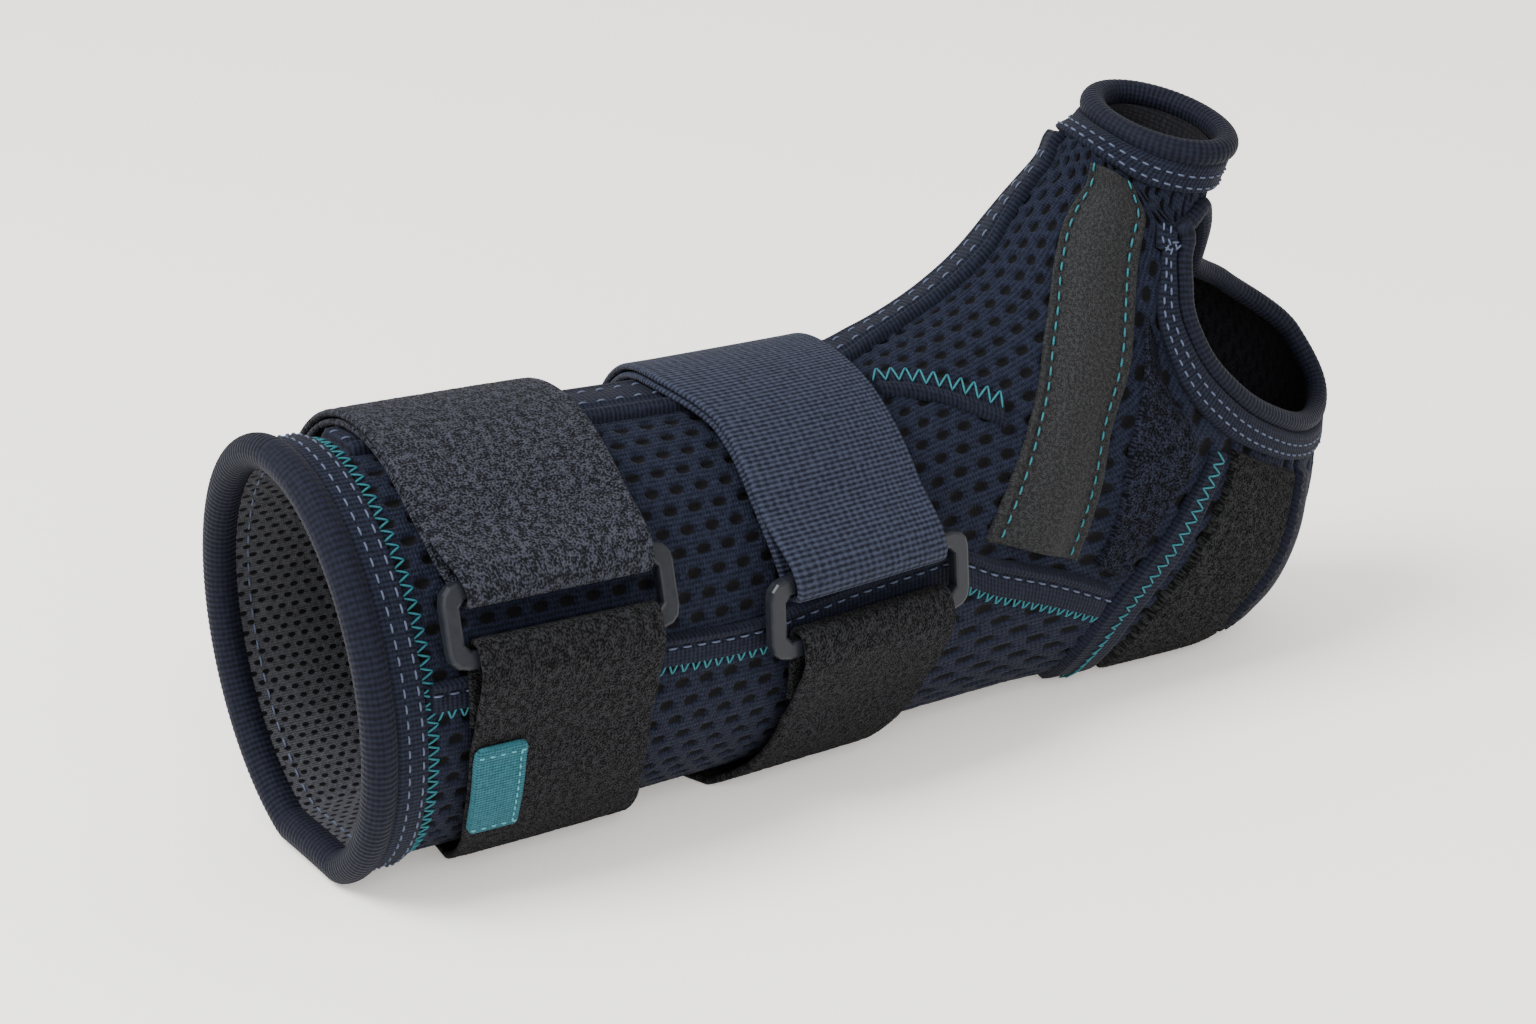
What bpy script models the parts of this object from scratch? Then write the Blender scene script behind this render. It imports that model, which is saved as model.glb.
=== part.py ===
"""Thumb spica splint standing on its little-finger edge: a knit body with bindings, tapes and straps."""

import bmesh
import bpy
import numpy as np
from mathutils import Matrix, Vector
from mathutils.geometry import delaunay_2d_cdt

# Overall sizes of the body, in metres
LENGTH = 0.227
HEIGHT = 0.112
CUFF_HALF_WIDTH = 0.0305
MIDDLE_X = 0.10673
MIDDLE_Y = -0.00236
WALL = 0.0026

# Layers stacked on the body, each with the clearance under it
LAYER_GAP = 0.0003
TAPE_RISE = 0.00045
TAPE = 0.001
STRAP = 0.0013
STRAP_RISE = TAPE_RISE + TAPE + LAYER_GAP
SECOND_RISE = STRAP_RISE + STRAP + LAYER_GAP

# Bindings and hems
CUFF_BINDING = 0.0031
THUMB_BINDING = 0.0024
HAND_BINDING = 0.0020
BINDING_SIDES = 2
BINDING_SINK = 0.0002
CUFF_HEM = 0.0052
THUMB_HEM = 0.0055
HAND_HEM = 0.0058
HAND_HEM_RISE = 0.0006
HAND_HEM_NARROW = 0.0022
HAND_HEM_STATIONS = (8.4, 10.2)
HAND_HEM_END = 12.0
HAND_HEM_FAR_END = 11.3
THUMB_EASE = 0.0006
WEB_EASE = 0.0005

# Stay cover and plush panels
STAY_COVER = 0.0018
PLUSH = 0.0012

# Strap rings
RING_SLOT = 0.0385
RING_HEIGHT = 0.0150
RING_BAR = 0.0032
RING_DEPTH = 0.0026
RING_CORNER = 0.0034
RING_EDGE = 0.0006
RING_CLEARANCE = 0.0006
RING_LEVEL = STRAP_RISE + STRAP + RING_CLEARANCE + RING_DEPTH / 2
RING_CORNER_POINTS = 4
SLOT_CORNER_POINTS = RING_CORNER_POINTS // 2

# Pull tab on the lower strap, centred at an angle around the body
TAB_ANGLE = 113.5
TAB_LENGTH = 0.021
TAB_WIDTH = 0.0105
TAB_CORNER = 0.0016
TAB_CLEARANCE = 0.0005
TAB_ROWS = 7
TAB_COLUMNS = 3

# Points closer than this are one point
WELD = 0.00001

# Sections of the body from cuff to thumb opening. Each runs from the upper crest to the lower crest
SECTION_COLUMNS = ("top_x", "top_z", "low_x", "low_z", "half_width", "lean", "aside")
SECTION_SIZES = (LENGTH, HEIGHT, LENGTH, HEIGHT, CUFF_HALF_WIDTH, 1.0, CUFF_HALF_WIDTH)
SECTIONS = (
    (-0.0220, 0.7080, -0.0044, 0.0254, 1.000, 0.0, 0.000),
    (0.1630, 0.6929, 0.1476, 0.0205, 1.000, 0.0, 0.000),
    (0.3392, 0.6750, 0.3216, 0.0205, 0.951, 0.0, 0.000),
    (0.4581, 0.6714, 0.4802, 0.0205, 0.869, 0.0, 0.000),
    (0.5115, 0.6937, 0.6167, 0.0205, 0.836, 0.0, 0.000),
    (0.5577, 0.7250, 0.7269, 0.0107, 0.859, 0.0, 0.000),
    (0.5930, 0.7598, 0.8238, 0.0062, 0.892, 0.0, 0.000),
    (0.6203, 0.7964, 0.9031, 0.0491, 0.902, 0.0, 0.000),
    (0.6405, 0.8339, 0.9530, 0.1652, 0.852, 0.0, 0.000),
    (0.6581, 0.8705, 0.9700, 0.2961, 0.765, 1.0, -0.008),
    (0.6744, 0.9045, 0.9720, 0.4212, 0.690, 2.0, -0.027),
    (0.6894, 0.9366, 0.9540, 0.5403, 0.616, 4.0, -0.048),
    (0.6960, 0.9690, 0.8835, 0.6531, 0.540, 6.0, -0.070),
    (0.7065, 0.9860, 0.8290, 0.7324, 0.460, 8.0, -0.085),
    (0.7220, 0.9890, 0.8230, 0.8369, 0.445, 9.0, -0.100),
    (0.7368, 0.9955, 0.8405, 0.9710, 0.485, 10.2, -0.115),
)
LAST_STATION = float(len(SECTIONS) - 1)
SPLIT_STATION = 2.55
SPLIT_STEP = 0.012
FOREARM_ROWS = 9
HAND_ROWS = 27
AROUND = 36

# How far the body is pressed onto the floor, and how high it lies over it below each layer, by station
REST_PRESS = 0.0018
REST_STATIONS = (0.0, 3.3, 4.4, LAST_STATION)
REST_LEVELS = (STRAP_RISE + STRAP, STRAP_RISE + STRAP, TAPE_RISE + PLUSH, TAPE_RISE + PLUSH)

# Outline of the hand opening: stations and degrees around the body, from the far side round the web
OPENING_COLUMNS = ("station", "angle")
OPENING = (
    (11.79, 190), (12.46, 184), (13.23, 165), (13.75, 139), (13.80, 111), (11.38, 69), (9.66, 67),
    (8.73, 76), (8.57, 91), (8.86, 110), (9.33, 130), (9.93, 151), (10.62, 170), (11.26, 184),
)
OPENING_POINTS = 41
OPENING_FINE = 400
OPENING_STEPS = 3
SEAM_ANGLE = 240.0

# How far a station and a degree reach over the cloth in the flat layout of the hand shell, in millimetres
LAYOUT_STATION = 9.0
LAYOUT_DEGREE = 0.5
LAYOUT_MARGIN = 1.7

# Borders of the tapes and panels as (station, degrees) pairs, in order along the piece
TOP_TAPE_FAR = ((0.26, -13), (1.3, -13), (2.2, -13), (3.2, -16), (5, -17), (7, -18), (9, -21), (11.2, -25))
TOP_TAPE_NEAR = ((0.26, 9), (1.3, 14), (2.2, 15), (3.2, 9), (5, 4), (7, 4), (9, 0), (11.2, -4))
SIDE_TAPE_UPPER = (
    (0.24, 82), (1.3, 83), (1.9, 85), (2.6, 82), (3.35, 81), (3.94, 90), (4.7, 101), (5.12, 109),
)
SIDE_TAPE_LOWER = (
    (0.24, 90), (1.3, 92), (1.9, 94), (2.6, 92), (3.30, 92), (3.86, 102), (4.5, 113), (4.88, 120),
)
CURVE_SEAM_UPPER = ((3.36, 19), (3.70, 23), (4.19, 31), (4.60, 39), (4.98, 47))
CURVE_SEAM_LOWER = ((3.36, 29), (3.66, 33), (4.08, 40), (4.40, 47), (4.74, 55))
STAY_LEFT = ((3.86, 84), (4.60, 66), (5.44, 51), (6.60, 35.5), (8.05, 26), (10.0, 21.5), (12.0, 22))
STAY_RIGHT = ((4.82, 98), (5.45, 82), (6.31, 66.5), (7.4, 58.5), (8.69, 53), (10.6, 49.5), (12.6, 50))
PILE_LEFT = (
    (5.02, 101), (5.45, 91), (5.90, 81), (6.45, 71.5), (6.95, 66.8), (7.5, 62.5), (8.05, 59),
    (8.5, 57.2),
)
PILE_RIGHT = (
    (5.24, 107.5), (5.94, 95.5), (6.55, 89.5), (7.06, 86.5), (7.40, 80), (7.46, 73), (7.66, 66.5),
    (8.2, 60.5),
)
DIAGONAL_LEFT = ((7.42, 88.5), (6.85, 91), (6.05, 98.5), (5.3, 110.5), (4.8, 125), (4.52, 145), (4.45, 166))
DIAGONAL_RIGHT = ((7.6, 92.5), (7.08, 95), (6.3, 103.5), (5.64, 114.5), (5.18, 129), (4.94, 148), (4.9, 166))
PALM_LEFT = (
    (7.74, 94.5), (7.20, 97.5), (6.42, 106), (5.76, 117), (5.30, 131), (5.04, 150), (5.00, 168),
    (5.0, 190), (5.0, 211),
)
PALM_RIGHT = (
    (8.36, 121), (7.92, 123), (7.46, 127.5), (6.94, 132.5), (6.50, 141), (6.33, 156), (6.30, 170),
    (6.30, 190), (6.30, 211),
)
PIPING_LEFT = (
    (8.48, 124), (8.06, 126), (7.60, 130.5), (7.09, 135.5), (6.64, 143.5), (6.47, 158), (6.44, 171),
    (6.44, 190), (6.44, 214),
)
PIPING_RIGHT = (
    (8.62, 131), (8.28, 134), (7.80, 138.5), (7.36, 143.5), (6.92, 150), (6.74, 162), (6.68, 171),
    (6.68, 190), (6.68, 214),
)

# The tapes and panels: their borders, rows along and across, thickness and look
PANELS = (
    ("top_seam_tape", TOP_TAPE_FAR, TOP_TAPE_NEAR, 22, 4, TAPE, (0.05, 0.06, 0.10), 0.85),
    ("side_seam_tape", SIDE_TAPE_UPPER, SIDE_TAPE_LOWER, 20, 3, TAPE, (0.05, 0.06, 0.10), 0.85),
    ("wrist_seam_tape", CURVE_SEAM_UPPER, CURVE_SEAM_LOWER, 9, 3, TAPE, (0.05, 0.06, 0.10), 0.85),
    ("thumb_stay_cover", STAY_LEFT, STAY_RIGHT, 20, 5, STAY_COVER, (0.06, 0.06, 0.062), 0.7),
    ("loop_pile_panel", PILE_LEFT, PILE_RIGHT, 10, 4, PLUSH, (0.02, 0.024, 0.04), 1.0),
    ("palm_seam_tape", DIAGONAL_LEFT, DIAGONAL_RIGHT, 16, 3, TAPE, (0.05, 0.06, 0.10), 0.85),
    ("palm_panel", PALM_LEFT, PALM_RIGHT, 20, 6, PLUSH, (0.05, 0.05, 0.055), 1.0),
    ("palm_edge_piping", PIPING_LEFT, PIPING_RIGHT, 20, 3, PLUSH, (0.04, 0.05, 0.09), 0.8),
)

# Straps: angle around the body, then the stations of both edges
STRAP_COLUMNS = ("angle", "left", "right")
WRIST_STRAP = (
    (-110, 1.97, 3.20), (-50, 1.85, 3.12), (0, 1.72, 3.05), (30, 1.87, 3.15), (55, 1.93, 3.20),
    (80, 2.05, 3.22), (95, 2.09, 3.21), (120, 2.13, 3.13), (140, 2.10, 3.00), (160, 1.98, 2.92),
    (180, 1.92, 2.88), (215, 1.94, 2.98), (250, 1.97, 3.20),
)
CUFF_STRAP = (
    (-110, 0.44, 1.38), (-50, 0.35, 1.30), (0, 0.33, 1.28), (30, 0.33, 1.29), (50, 0.36, 1.31),
    (67, 0.43, 1.31), (95, 0.42, 1.34), (120, 0.44, 1.38), (140, 0.51, 1.46), (160, 0.57, 1.53),
    (180, 0.60, 1.56), (215, 0.54, 1.50), (250, 0.44, 1.38),
)
CUFF_RING_ANGLE = 68.5
WRIST_RING_ANGLE = 84.5
STRAP_FREE_END = -52
STRAP_SEAM = -100
STRAP_STEP = 9.5
STRAP_SPANS = 2
STRAP_FINE = 241
TAIL = 0.013

# Ease of a strap from its resting layer onto a ring bar, in shares of the ease length and of the lift
BAR_TOP = RING_LEVEL + RING_DEPTH / 2 + RING_CLEARANCE + STRAP / 2
UPPER_EASE = 0.0140
UPPER_ONTO_BAR = ((1.0, 0.0), (0.68, 0.23), (0.39, 0.66), (0.17, 0.97))
LOWER_EASE = 0.0200
LOWER_ONTO_BAR = ((1.0, 0.0), (0.825, 0.12), (0.65, 0.33), (0.45, 0.55), (0.275, 0.84), (0.12, 1.04))
FOLD_STEPS = 6


def clear_scene():
    for thing in list(bpy.data.objects):
        bpy.data.objects.remove(thing, do_unlink=True)
    for group in list(bpy.data.collections):
        bpy.data.collections.remove(group)


def material(name, colour, roughness):
    made = bpy.data.materials.new(name)
    made.use_nodes = True
    shader = made.node_tree.nodes["Principled BSDF"]
    shader.inputs["Base Color"].default_value = (*colour, 1.0)
    shader.inputs["Roughness"].default_value = roughness
    return made


def along(values, place):
    """Monotone cubic curve through evenly spaced values, read at a place counted in steps."""
    values = np.asarray(values, float)
    steps = np.diff(values)
    before = steps[:-1]
    after = steps[1:]
    same_way = before * after > 0
    total = np.where(same_way, before + after, 1.0)
    inner = np.where(same_way, 2 * before * after / total, 0.0)
    first = (3 * steps[0] - before[1] if len(steps) > 2 else 2 * steps[0]) / 2
    slopes = np.concatenate([[first], inner, [steps[-1]]])
    place = np.clip(np.asarray(place, float), 0, len(values) - 1)
    low = np.minimum(place.astype(int), len(values) - 2)
    part = place - low
    rest = 1 - part
    ends = values[low] * (1 + 2 * part) * rest**2 + values[low + 1] * part**2 * (3 - 2 * part)
    return ends + slopes[low] * part * rest**2 - slopes[low + 1] * part**2 * rest


def body_point(station, angle, height=0.0):
    """Point over the body: station along it, angle in degrees from the upper crest over the near side."""
    station, angle, height = np.broadcast_arrays(station, angle, height)
    column = {
        name: along([row[i] for row in SECTIONS], station) * SECTION_SIZES[i]
        for i, name in enumerate(SECTION_COLUMNS)
    }
    top = np.stack([column["top_x"], column["top_z"]], -1)
    low = np.stack([column["low_x"], column["low_z"]], -1)
    middle = (top + low) / 2
    half = (top - low) / 2
    reach = np.linalg.norm(half, axis=-1)
    turn = np.radians(angle)
    up = (reach + height) * np.cos(turn)
    side = -(column["half_width"] + height) * np.sin(turn)
    lean = np.radians(column["lean"])
    x = middle[..., 0] + half[..., 0] / reach * up
    y = column["aside"] + side * np.cos(lean)
    z = middle[..., 1] + half[..., 1] / reach * up + side * np.sin(lean) - REST_PRESS
    floor = np.interp(station, REST_STATIONS, REST_LEVELS) - height
    return np.stack([x - MIDDLE_X, y - MIDDLE_Y, np.maximum(z, floor)], -1)


def station_from_rim(rim, angle, distance):
    """Station that lies a distance along the cloth from a rim station, at each angle."""
    inward = 1 if rim < LAST_STATION / 2 else -1
    stations = rim + inward * np.linspace(0, LAST_STATION / 2, 400)
    line = body_point(stations[:, None], np.asarray(angle)[None, :])
    gone = np.linalg.norm(np.diff(line, axis=0), axis=-1).cumsum(axis=0)
    gone = np.vstack([np.zeros((1, gone.shape[1])), gone])
    return np.array([np.interp(distance, gone[:, i], stations) for i in range(gone.shape[1])])


def opening_outline(points):
    """Stations and angles of the hand opening: a closed smooth curve through its table."""
    rows = np.array(OPENING)
    place = np.linspace(0, len(rows), OPENING_FINE, endpoint=False)
    row = place.astype(int)
    part = (place - row)[:, None]
    before, here, after, later = (rows[(row + step) % len(rows)] for step in (-1, 0, 1, 2))
    linear = (after - before) / 2 * part
    square = (before - 2.5 * here + 2 * after - later / 2) * part**2
    cube = (1.5 * (here - after) + (later - before) / 2) * part**3
    smooth = here + linear + square + cube
    column = {name: smooth[:, i] for i, name in enumerate(OPENING_COLUMNS)}
    return even_loop(column["station"], column["angle"], points)


def even_loop(station, angle, points):
    """The same closed outline with its points spaced evenly over the cloth."""
    place = body_point(station, angle)
    gap = np.linalg.norm(np.roll(place, -1, axis=0) - place, axis=-1)
    gone = np.concatenate([[0.0], gap.cumsum()])
    wanted = np.linspace(0, gone[-1], points, endpoint=False)
    return (
        np.interp(wanted, gone, np.append(station, station[0])),
        np.interp(wanted, gone, np.append(angle, angle[0])),
    )


def spread(station, angle, distance, steps):
    """Moves a closed outline outwards over the cloth by a distance, in equal steps."""
    for _ in range(steps):
        here = body_point(station, angle)
        tiny_s = 0.01
        tiny_a = 0.2
        by_s = (body_point(station + tiny_s, angle) - here) / tiny_s
        by_a = (body_point(station, angle + tiny_a) - here) / tiny_a
        tangent = np.roll(here, -1, axis=0) - np.roll(here, 1, axis=0)
        normal = np.cross(by_a, by_s)
        side = np.cross(tangent, normal)
        side /= np.linalg.norm(side, axis=-1, keepdims=True)
        centre = here.mean(axis=0)
        out = np.sign(((here - centre) * side).sum(axis=0).sum())
        move = side * out * np.reshape(distance, (-1, 1)) / steps
        ss = (by_s * by_s).sum(-1)
        sa = (by_s * by_a).sum(-1)
        aa = (by_a * by_a).sum(-1)
        ms = (move * by_s).sum(-1)
        ma = (move * by_a).sum(-1)
        scale = ss * aa - sa * sa
        station = station + (ms * aa - ma * sa) / scale
        angle = angle + (ma * ss - ms * sa) / scale
    return station, angle


def border(pairs, count):
    """A border table read at evenly spaced places."""
    place = np.linspace(0, len(pairs) - 1, count)
    return along([p[0] for p in pairs], place), along([p[1] for p in pairs], place)


def add_mesh(name, points, faces, group, look=None):
    mesh = bpy.data.meshes.new(name)
    mesh.from_pydata([tuple(p) for p in points], [], faces)
    mesh.update()
    made = bpy.data.objects.new(name, mesh)
    if look:
        mesh.materials.append(look)
    group.objects.link(made)
    return made


def grid_faces(rows, columns, closed_columns=False, closed_rows=False):
    """Faces of a grid that look outwards when rows run along the body and columns round it."""
    faces = []
    for i in range(rows if closed_rows else rows - 1):
        for j in range(columns if closed_columns else columns - 1):
            a = i * columns + j
            b = i * columns + (j + 1) % columns
            c = (i + 1) % rows * columns + (j + 1) % columns
            d = (i + 1) % rows * columns + j
            faces.append((a, b, c, d))
    return faces


def thicken(thing, thickness, outwards):
    solid = thing.modifiers.new("Thickness", "SOLIDIFY")
    solid.thickness = thickness
    solid.offset = 1.0 if outwards else -1.0
    thing.data.shade_smooth()
    return thing


def panel(name, first, second, along_count, across_count, thickness, rise, look, group):
    """A cloth piece between two borders of the body, the first border on the lower angle or station."""
    first_s, first_a = border(first, along_count)
    second_s, second_a = border(second, along_count)
    share = np.linspace(0, 1, across_count)[None, :]
    station = first_s[:, None] * (1 - share) + second_s[:, None] * share
    angle = first_a[:, None] * (1 - share) + second_a[:, None] * share
    points = body_point(station, angle, rise)
    faces = grid_faces(along_count, across_count)
    made = add_mesh(name, points.reshape(-1, 3), faces, group, look)
    face_outwards(made, points, body_point(station, angle, rise + thickness))
    return thicken(made, thickness, True)


def face_outwards(thing, inner, outer):
    """Turns the faces round when they look towards the body."""
    out = (outer - inner).reshape(-1, 3)
    first = thing.data.polygons[0]
    if Vector(out[first.vertices[0]]).dot(first.normal) < 0:
        thing.data.flip_normals()


def hem(name, inner, outer, across_count, rise, look, group, closed=True):
    """A band of cloth between two outlines, each a pair of stations and angles."""
    share = np.linspace(0, 1, across_count)[:, None]
    station = inner[0][None, :] * (1 - share) + outer[0][None, :] * share
    angle = inner[1][None, :] * (1 - share) + outer[1][None, :] * share
    points = body_point(station, angle, rise)
    faces = grid_faces(across_count, len(inner[0]), closed_columns=closed)
    made = add_mesh(name, points.reshape(-1, 3), faces, group, look)
    face_outwards(made, points, body_point(station, angle, rise + TAPE))
    return thicken(made, TAPE, True)


def tube(name, points, radius, group, look=None):
    """A closed round cord through the points, as a mesh that rests flat on the floor."""
    curve = bpy.data.curves.new(name, "CURVE")
    curve.dimensions = "3D"
    spline = curve.splines.new("POLY")
    spline.points.add(len(points) - 1)
    for point, place in zip(spline.points, points):
        point.co = (*place, 1.0)
    spline.use_cyclic_u = True
    curve.bevel_depth = radius
    curve.bevel_resolution = BINDING_SIDES
    guide = bpy.data.objects.new(name + "_path", curve)
    group.objects.link(guide)
    graph = bpy.context.evaluated_depsgraph_get()
    mesh = bpy.data.meshes.new_from_object(guide.evaluated_get(graph))
    bpy.data.objects.remove(guide, do_unlink=True)
    shape = bmesh.new()
    shape.from_mesh(mesh)
    bmesh.ops.remove_doubles(shape, verts=shape.verts, dist=WELD)
    bmesh.ops.recalc_face_normals(shape, faces=shape.faces)
    shape.to_mesh(mesh)
    shape.free()
    mesh.name = name
    mesh.materials.clear()
    if look:
        mesh.materials.append(look)
    mesh.shade_smooth()
    made = bpy.data.objects.new(name, mesh)
    group.objects.link(made)
    return made


def rest_on_floor(thing):
    for vertex in thing.data.vertices:
        vertex.co.z = max(vertex.co.z, 0.0)


def shell(name, start, end, rows, look, group):
    """A stretch of the lined knit body between two rows of stations, each given at every angle."""
    share = np.linspace(0, 1, rows)[:, None]
    station = start[None, :] * (1 - share) + end[None, :] * share
    angle = np.linspace(0, 360, AROUND, endpoint=False)[None, :]
    points = body_point(station, angle)
    faces = grid_faces(rows, AROUND, closed_columns=True)
    made = add_mesh(name, points.reshape(-1, 3), faces, group, look)
    face_outwards(made, points, body_point(station, angle, WALL))
    return thicken(made, WALL, False)


def inside_outline(places, outline):
    """Which places of a flat layout lie inside a closed outline."""
    x = places[:, 0, None]
    y = places[:, 1, None]
    x1 = outline[None, :, 0]
    y1 = outline[None, :, 1]
    x2 = np.roll(x1, -1, axis=1)
    y2 = np.roll(y1, -1, axis=1)
    crosses = (y1 > y) != (y2 > y)
    at = x1 + (y - y1) / np.where(y2 == y1, 1.0, y2 - y1) * (x2 - x1)
    return (crosses & (x < at)).sum(axis=1) % 2 == 1


def opened_shell(name, start, rim, rows, outline, look, group):
    """The hand part of the body: laid out flat, meshed round the hand opening and rolled up."""
    round_angle = np.linspace(SEAM_ANGLE - 360, SEAM_ANGLE, AROUND + 1)
    end = station_from_rim(LAST_STATION, round_angle, rim)
    share = np.linspace(0, 1, rows)[:, None]
    station = (start * (1 - share) + end[None, :] * share).ravel()
    angle = np.tile(round_angle, rows)
    scale = np.array([LAYOUT_STATION, LAYOUT_DEGREE])
    flat = np.stack([station, angle], -1) * scale
    hole = np.stack(outline, -1) * scale
    count = len(hole)
    far = np.linalg.norm(flat[:, None] - hole[None], axis=-1).min(axis=1) > LAYOUT_MARGIN
    flat = flat[far & ~inside_outline(flat, hole)]
    points = [Vector(p) for p in np.concatenate([hole, flat])]
    edges = [(i, (i + 1) % count) for i in range(count)]
    laid = delaunay_2d_cdt(points, edges, [], 0, 1e-6)
    places = np.array([tuple(p) for p in laid[0]])
    faces = np.array([tuple(f) for f in laid[2]])
    middles = places[faces].mean(axis=1)
    past_end = middles[:, 0] / scale[0] > np.interp(middles[:, 1] / scale[1], round_angle, end)
    faces = faces[~inside_outline(middles, hole) & ~past_end]
    points = body_point(places[:, 0] / LAYOUT_STATION, places[:, 1] / LAYOUT_DEGREE)
    made = add_mesh(name, points, [tuple(f) for f in faces.tolist()], group, look)
    shape = bmesh.new()
    shape.from_mesh(made.data)
    bmesh.ops.remove_doubles(shape, verts=shape.verts, dist=2 * WELD)
    loose = [v for v in shape.verts if not v.link_faces]
    bmesh.ops.delete(shape, geom=loose, context="VERTS")
    bmesh.ops.recalc_face_normals(shape, faces=shape.faces)
    shape.to_mesh(made.data)
    shape.free()
    upper_crest = Vector(body_point(start + 0.5, 0))
    crest = min(made.data.polygons, key=lambda face: (face.center - upper_crest).length)
    if crest.normal.z < 0:
        made.data.flip_normals()
    return thicken(made, WALL, False)


def strap_edges(table, angle):
    """Stations of the left and right edge of a strap at each angle."""
    fine = np.linspace(0, len(table) - 1, STRAP_FINE)
    column = {name: along([row[i] for row in table], fine) for i, name in enumerate(STRAP_COLUMNS)}
    left = np.interp(angle, column["angle"], column["left"])
    right = np.interp(angle, column["angle"], column["right"])
    return left, right


def degree_length(table, angle):
    """Length of one degree round the body at the height of the ring."""
    left, right = strap_edges(table, angle)
    middle = (left + right) / 2
    step = body_point(middle, angle + 1, RING_LEVEL) - body_point(middle, angle - 1, RING_LEVEL)
    return np.linalg.norm(step) / 2


def onto_bar(ease, shares, level):
    """Distances from a bar and heights of a strap that rises from its resting level onto the bar."""
    return [(way * ease, level + lift * (BAR_TOP - level)) for way, lift in shares]


def fold(turns):
    """Middle line round a ring bar, from over it to under it."""
    radius = RING_BAR / 2 + RING_CLEARANCE + STRAP / 2
    level = RING_LEVEL
    drop = level - STRAP_RISE - STRAP / 2
    lift = BAR_TOP - level
    path = []
    for turn in np.linspace(0, np.pi, turns):
        rise = lift * np.cos(turn) if turn < np.pi / 2 else drop * np.cos(turn)
        path.append((-radius * np.sin(turn), level + rise))
    return path


def ribbon(name, path, table, look, group):
    """A strap whose middle line is a path of (angle, height, metres per degree) rows."""
    path = np.array(path)
    flat = np.stack([path[:, 0] * path[:, 2], path[:, 1]], -1)
    tangent = np.gradient(flat, axis=0)
    tangent /= np.linalg.norm(tangent, axis=-1, keepdims=True)
    normal = np.stack([-tangent[:, 1], tangent[:, 0]], -1) * STRAP / 2
    sides = []
    for sign in (1, -1):
        moved = flat + sign * normal
        angle = moved[:, 0] / path[:, 2]
        left, right = strap_edges(table, path[:, 0])
        share = np.linspace(0, 1, STRAP_SPANS + 1)[:, None]
        station = left[None, :] * (1 - share) + right[None, :] * share
        sides.append(body_point(station, angle[None, :], moved[:, 1][None, :]))
    ring = np.concatenate([sides[0], sides[1][:, ::-1]], axis=1)
    rows, columns = ring.shape[:2]
    faces = grid_faces(rows, columns, closed_columns=True)
    half = columns // 2
    for row in (0, rows - 1):
        for j in range(half - 1):
            a = row * columns + j
            d = row * columns + columns - 1 - j
            faces.append((a, a + 1, d - 1, d))
    made = add_mesh(name, ring.reshape(-1, 3), faces, group, look)
    shape = bmesh.new()
    shape.from_mesh(made.data)
    bmesh.ops.recalc_face_normals(shape, faces=shape.faces)
    shape.to_mesh(made.data)
    shape.free()
    return made


def upper_strap(name, table, ring_angle, look, group):
    """The strap over the upper crest: a free end on top, a fold round the bar, a layer sewn far round."""
    scale = degree_length(table, ring_angle)
    bar = bar_angles(table, ring_angle)[0]
    upper = SECOND_RISE + STRAP / 2
    lower = STRAP_RISE + STRAP / 2
    start = bar - UPPER_EASE / scale
    runs = np.arange(STRAP_FREE_END, start - STRAP_STEP / 2, STRAP_STEP)
    path = [(angle, upper, scale) for angle in runs]
    rising = onto_bar(UPPER_EASE, UPPER_ONTO_BAR, upper)
    path += [(bar - way / scale, height, scale) for way, height in rising]
    path += [(bar - way / scale, height, scale) for way, height in fold(FOLD_STEPS)]
    back = np.arange(bar - STRAP_STEP, STRAP_SEAM, -STRAP_STEP)
    path += [(angle, lower, scale) for angle in back]
    path.append((STRAP_SEAM, lower, scale))
    return ribbon(name, path, table, look, group)


def lower_strap(name, table, ring_angle, look, group):
    """The strap under the body: a short tail behind the bar, a fold round it and a run up the far side."""
    scale = degree_length(table, ring_angle)
    bar = bar_angles(table, ring_angle)[1]
    lower = STRAP_RISE + STRAP / 2
    seam = 360 + STRAP_SEAM - LAYER_GAP / scale * 2
    first = bar + LOWER_EASE / scale
    path = [(angle, lower, scale) for angle in np.arange(seam, first + STRAP_STEP / 2, -STRAP_STEP)]
    rising = onto_bar(LOWER_EASE, LOWER_ONTO_BAR, lower)
    path += [(bar + way / scale, height, scale) for way, height in rising]
    path += [(bar + way / scale, height, scale) for way, height in fold(FOLD_STEPS)]
    path += [(bar + TAIL / 2 / scale, lower, scale), (bar + TAIL / scale, lower, scale)]
    return ribbon(name, path, table, look, group)


def rounded_box(width, height, corner, steps):
    """Corner points of a rectangle with rounded corners."""
    points = []
    for turn, sx, sy in ((0, 1, 1), (1, -1, 1), (2, -1, -1), (3, 1, -1)):
        for part in np.linspace(0, 1, steps):
            a = (turn + part) * np.pi / 2
            points.append((
                sx * (width / 2 - corner) + corner * np.cos(a),
                sy * (height / 2 - corner) + corner * np.sin(a),
            ))
    return points


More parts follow.
